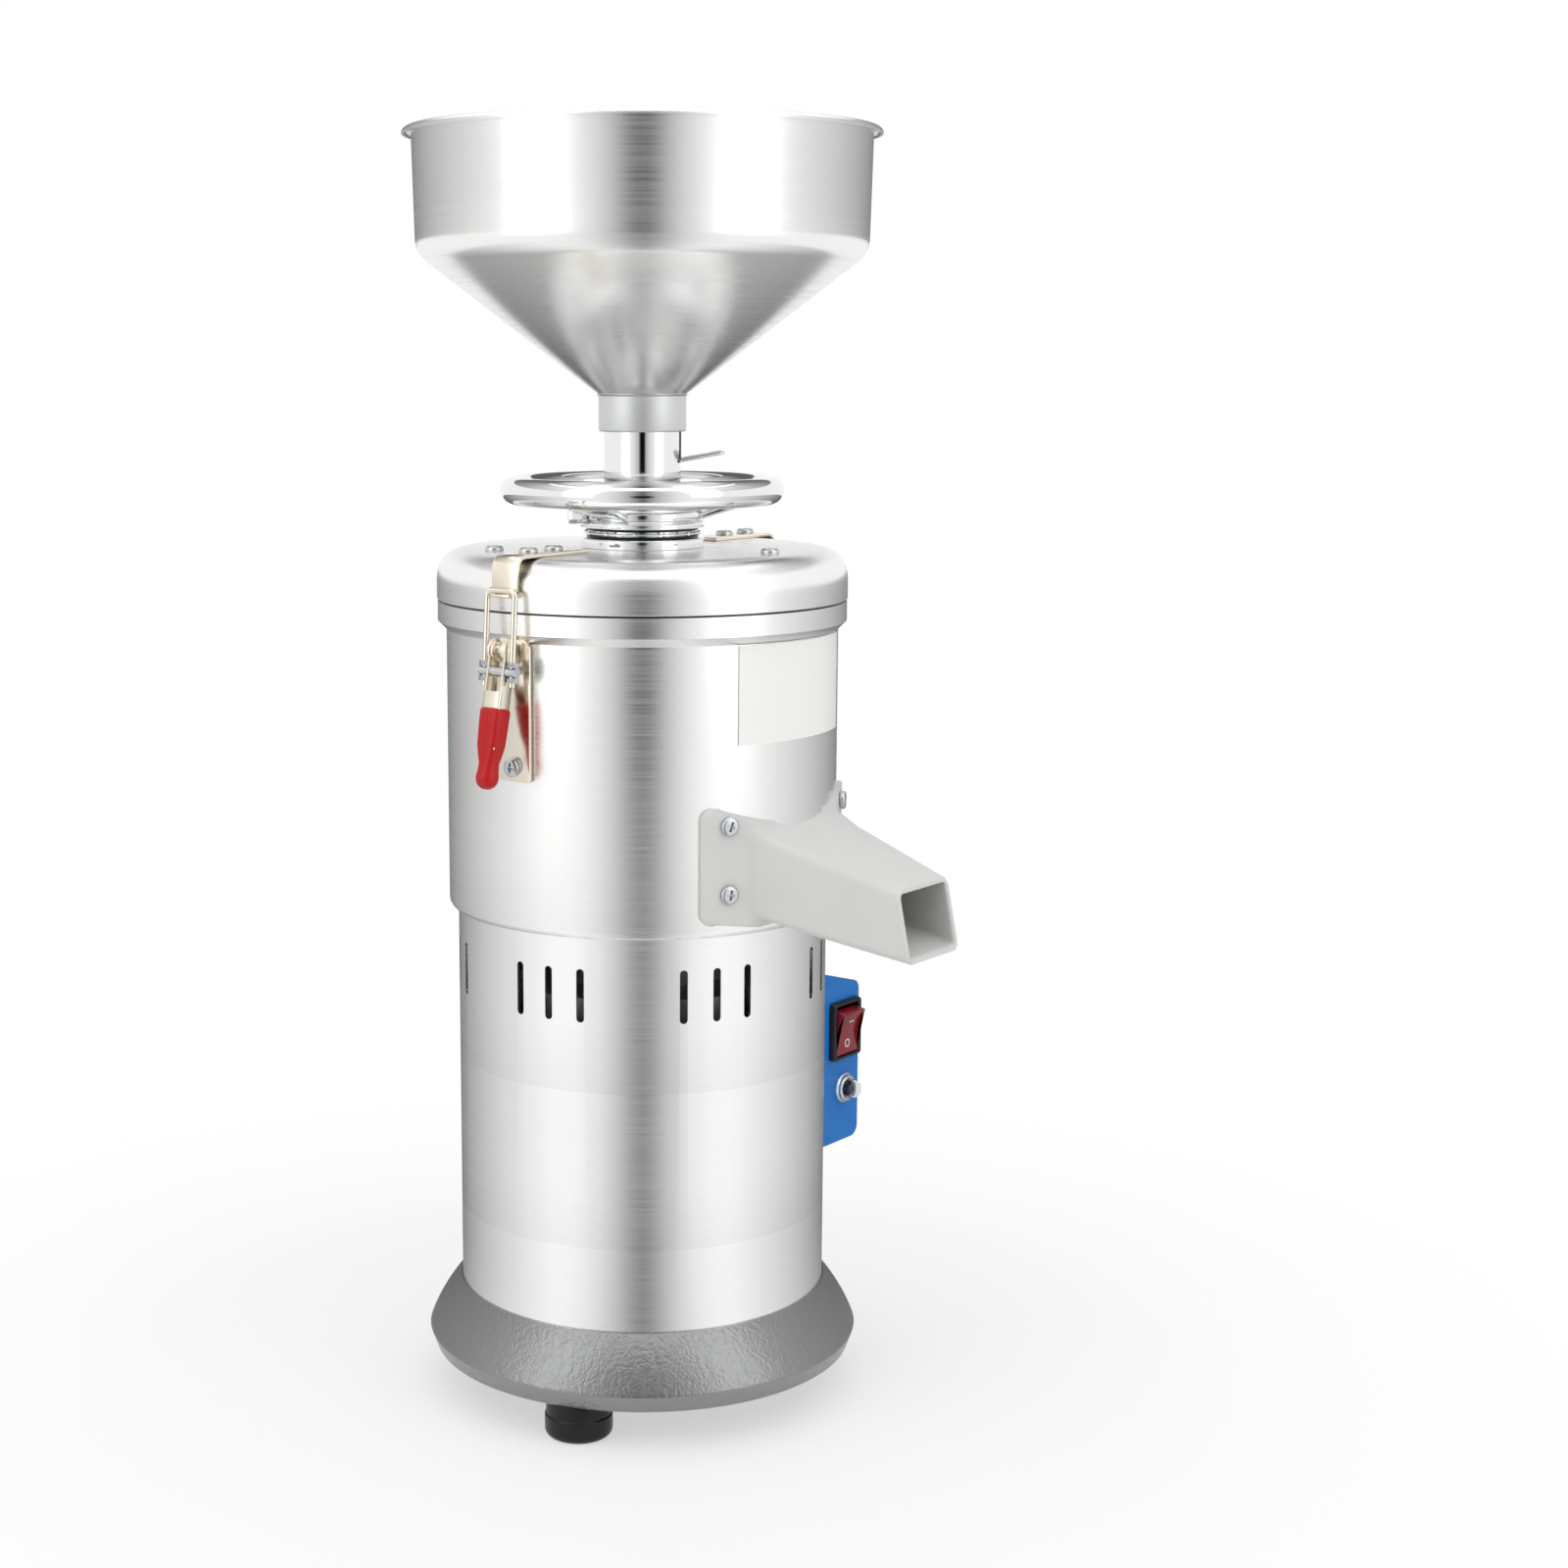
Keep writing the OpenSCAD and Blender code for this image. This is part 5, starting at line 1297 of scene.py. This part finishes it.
# ---- Rocker switch ----
# A black bezel snapped into the panel, and a clear red rocker with a dished face that reads I
# above and O below.

panel_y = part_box("switch_panel")[0].y / MM
control_x = 137.0
rocker_z = 165.0
bezel_w = 27.0
bezel_h = 33.0
bezel_out = 4.0
bezel_deep = 10.0
bezel_corner = 1.6
rocker_w = 21.0
rocker_half = 12.5
rocker_tilt = radians(12)
rocker_face = 6.0
rocker_dish = 2.4


def facing_front(x, y, z):
    """A frame at a point of the panel whose X runs across, Y up and Z out of the panel."""
    return shift(x, y, z) @ turn_about("X", pi / 2)


front = facing_front(control_x, panel_y, rocker_z)
bezel = bmesh.new()
bezel_path = [(0, 0, 0), (0, 0.2, bezel_out - 1), (0.35, 0.6, bezel_out - 0.3),
              (1.0, 1.2, bezel_out), (2.0, 2.0, bezel_out - 0.1), (2.6, 2.4, bezel_out - 0.7),
              (2.6, 2.4, -bezel_deep), (1.6, 1.6, -bezel_deep), (1.5, 1.5, 0)]
bridged(bezel, [[front @ Vector((p.x, p.y, out)) for p in square_ring(
    bezel_w - 2 * aside, bezel_h - 1.8 * below, bezel_corner)] for aside, below, out in bezel_path])
add_piece("rocker_bezel", bezel, black_nylon, "machine", ["switch_bezel"])

# Clear red plastic: light goes a little way in, so that its edges glow
clear_red, tree, shader = new_finish("clear red plastic", {
    "Base Color": srgb("#A8101C"), "Roughness": 0.16, "Coat Weight": 0.5, "Coat Roughness": 0.05,
    "Subsurface Weight": 0.25, "Subsurface Scale": 0.003})
tint(tree, shader, noise(tree, 8, 1), "#74101C", "#96202C")


def dish(up):
    """How far the rocker's face stands out at a height from its middle."""
    return rocker_face + rocker_dish * (up / rocker_half) ** 2


face_half = rocker_half - 0.6
face_steps = 20
face_ups = [(2 * k / face_steps - 1) * face_half for k in range(face_steps + 1)]
foot = [(-5, 6), (1, rocker_half), (7.4, rocker_half), (8.0, rocker_half - 0.1)]
outline = ([Vector((out, -up)) for out, up in foot] + [Vector((dish(up), up)) for up in face_ups]
           + [Vector(point) for point in foot[::-1]])
tip = (shift(control_x, panel_y + 2, rocker_z) @ turn_about("X", rocker_tilt)
       @ Matrix(((0, 0, 1, 0), (-1, 0, 0, 0), (0, 1, 0, 0), (0, 0, 0, 1))))
rocker = bmesh.new()
slab(rocker, outline, -rocker_w / 2, rocker_w / 2, tip, edge=0.6)
add_piece("dished_rocker", rocker, clear_red, "rocker", ["rocker"], crease=30)

# The two marks are moulded in white and stand a hair proud
white_mark, tree, shader = new_finish("moulded white mark", {
    "Base Color": srgb("#E8D8D8"), "Roughness": 0.4})
tint(tree, shader, noise(tree, 1.5, 1), "#DCC8C8", "#F0E4E4")
mark_at = 6.6
mark_out = 0.12
mark_sunk = 0.4
ring_out_r, ring_in_r = 2.4, 1.7
bar_w, bar_h = 0.8, 4.6


def on_rocker(up):
    """A frame on the rocker's dished face whose Z runs out of it."""
    lean = atan(2 * rocker_dish * up / rocker_half ** 2)
    return tip @ shift(dish(up), up, 0) @ turn_about("Z", -lean) @ turn_about("Y", pi / 2)


marks = bmesh.new()
turned(marks, rounded_outline([
    (ring_in_r, -mark_sunk, 0), (ring_out_r, -mark_sunk, 0), (ring_out_r, mark_out, 0.05),
    (ring_in_r, mark_out, 0.05)], 2), on_rocker(-mark_at), turns=40)
slab(marks, square_ring(bar_w, bar_h, 0.2, 2), -mark_sunk, mark_out,
     on_rocker(mark_at) @ turn_about("Z", pi / 2), edge=0.05)
add_piece("rocker_marks", marks, white_mark, "rocker")


# ---- Reset button ----
# A push-to-reset breaker: a stepped chrome nut, a black button and a clear vinyl dome over it.

reset_z = 131.0
nut_bore = 5.55
nut_r = 8.5
nut_step_r = 7.4
nut_h = 4.5
button_r = 3.6
button_out = 8.0
boot_foot = 2.0
dome_z = 6.6
boot_r = 5.4
boot_out = 5.35
boot_in_r = 4.6
boot_in_out = 4.5

front = facing_front(control_x, panel_y, reset_z)
nut = bmesh.new()
turned(nut, rounded_outline([
    (nut_bore, -3, 0), (nut_r, 0, 0), (nut_r, 2.4, 0.7), (nut_step_r, 2.5, 0.2),
    (nut_step_r, nut_h, 0.7), (nut_bore, nut_h, 0.4)], 4), front, turns=72)
add_piece("chrome_reset_nut", nut, chrome_plate, "machine", ["reset_nut"])

button = bmesh.new()
turned(button, [(0, -6), (button_r, -6), (button_r, button_out - 2.4),
                (button_r - 0.2, button_out - 1.4), (button_r - 0.8, button_out - 0.7),
                (button_r - 2, button_out - 0.2), (0, button_out)], front, turns=48)
add_piece("inner_reset_button", button, black_nylon, "reset_button", ["reset_button"])

# Clear vinyl: a thin soft shell, faintly milky
clear_vinyl, tree, shader = new_finish("clear vinyl boot", {
    "Base Color": srgb("#EEF1F2"), "Roughness": 0.08, "Transmission Weight": 1.0, "IOR": 1.4})
haze(tree, shader, noise(tree, 3, 1), (0, 1), (0.04, 0.16))


def quarter_dome(radius, height):
    """The outline of a dome from its foot to its top."""
    return [(radius * cos(a), dome_z + height * sin(a))
            for a in [k * pi / 20 for k in range(10)]] + [(0, dome_z + height)]


boot = bmesh.new()
turned(boot, [(boot_in_r, -boot_foot), (boot_r, -boot_foot)] + quarter_dome(boot_r, boot_out)
       + quarter_dome(boot_in_r, boot_in_out)[::-1], front, turns=64)
add_piece("clear_reset_boot", boot, clear_vinyl, "reset_button", ["reset_button"])


# ---- Cable gland ----
# A black nylon gland under the box, with a ribbed dome nut. It is where the mains cord comes in.

gland_x, gland_y = 128.0, 6.0
gland_low, gland_high = levels(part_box("cable_gland"))
box_low = levels(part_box("switch_box"))[0]
gland_bore = 4.5
gland_dome_r = 9.2
gland_hex_r = 11.0
gland_hex_h = 6.0
gland_thread_r = 8.0
rib_count = 16
rib_size = (1.0, 1.3, 5.2)
rib_z = 8.5

hex_low = box_low - gland_hex_h
gland = bmesh.new()
turned(gland, [
    (gland_bore, gland_low + 0.6), (gland_bore + 0.6, gland_low), (gland_dome_r - 2, gland_low),
    (gland_dome_r - 1, gland_low + 0.8), (gland_dome_r - 0.3, gland_low + 3.5),
    (gland_dome_r, gland_low + 6), (gland_dome_r + 0.2, hex_low - 0.4), (gland_dome_r, hex_low),
    (gland_hex_r - 0.4, hex_low), (gland_hex_r, hex_low + 0.4), (gland_hex_r, box_low - 0.5),
    (gland_hex_r - 0.3, box_low), (gland_thread_r, box_low), (gland_thread_r, gland_high - 0.5),
    (gland_thread_r - 0.5, gland_high), (gland_bore, gland_high)],
       shift(gland_x, gland_y, 0), turns=72)
add_piece("cable_gland_body", gland, black_nylon, "machine", ["cable_gland"])
rib = bmesh.new()
bmesh.ops.create_cube(rib, size=1.0)
bmesh.ops.scale(rib, vec=rib_size, verts=rib.verts)
bmesh.ops.bevel(rib, geom=rib.edges[:], offset=0.3, segments=2, profile=0.5, affect="EDGES")
hang("gland_ribs", grown(ring_tree, {
    "Part": pattern_part("gland rib", rib, black_nylon), "Finish": black_nylon,
    "Count": rib_count, "Radius": (gland_dome_r + 0.1) * MM, "Phase": 0.0,
    "Centre": (gland_x * MM, gland_y * MM, (gland_low + rib_z) * MM)}),
    "machine", ["cable_gland"])
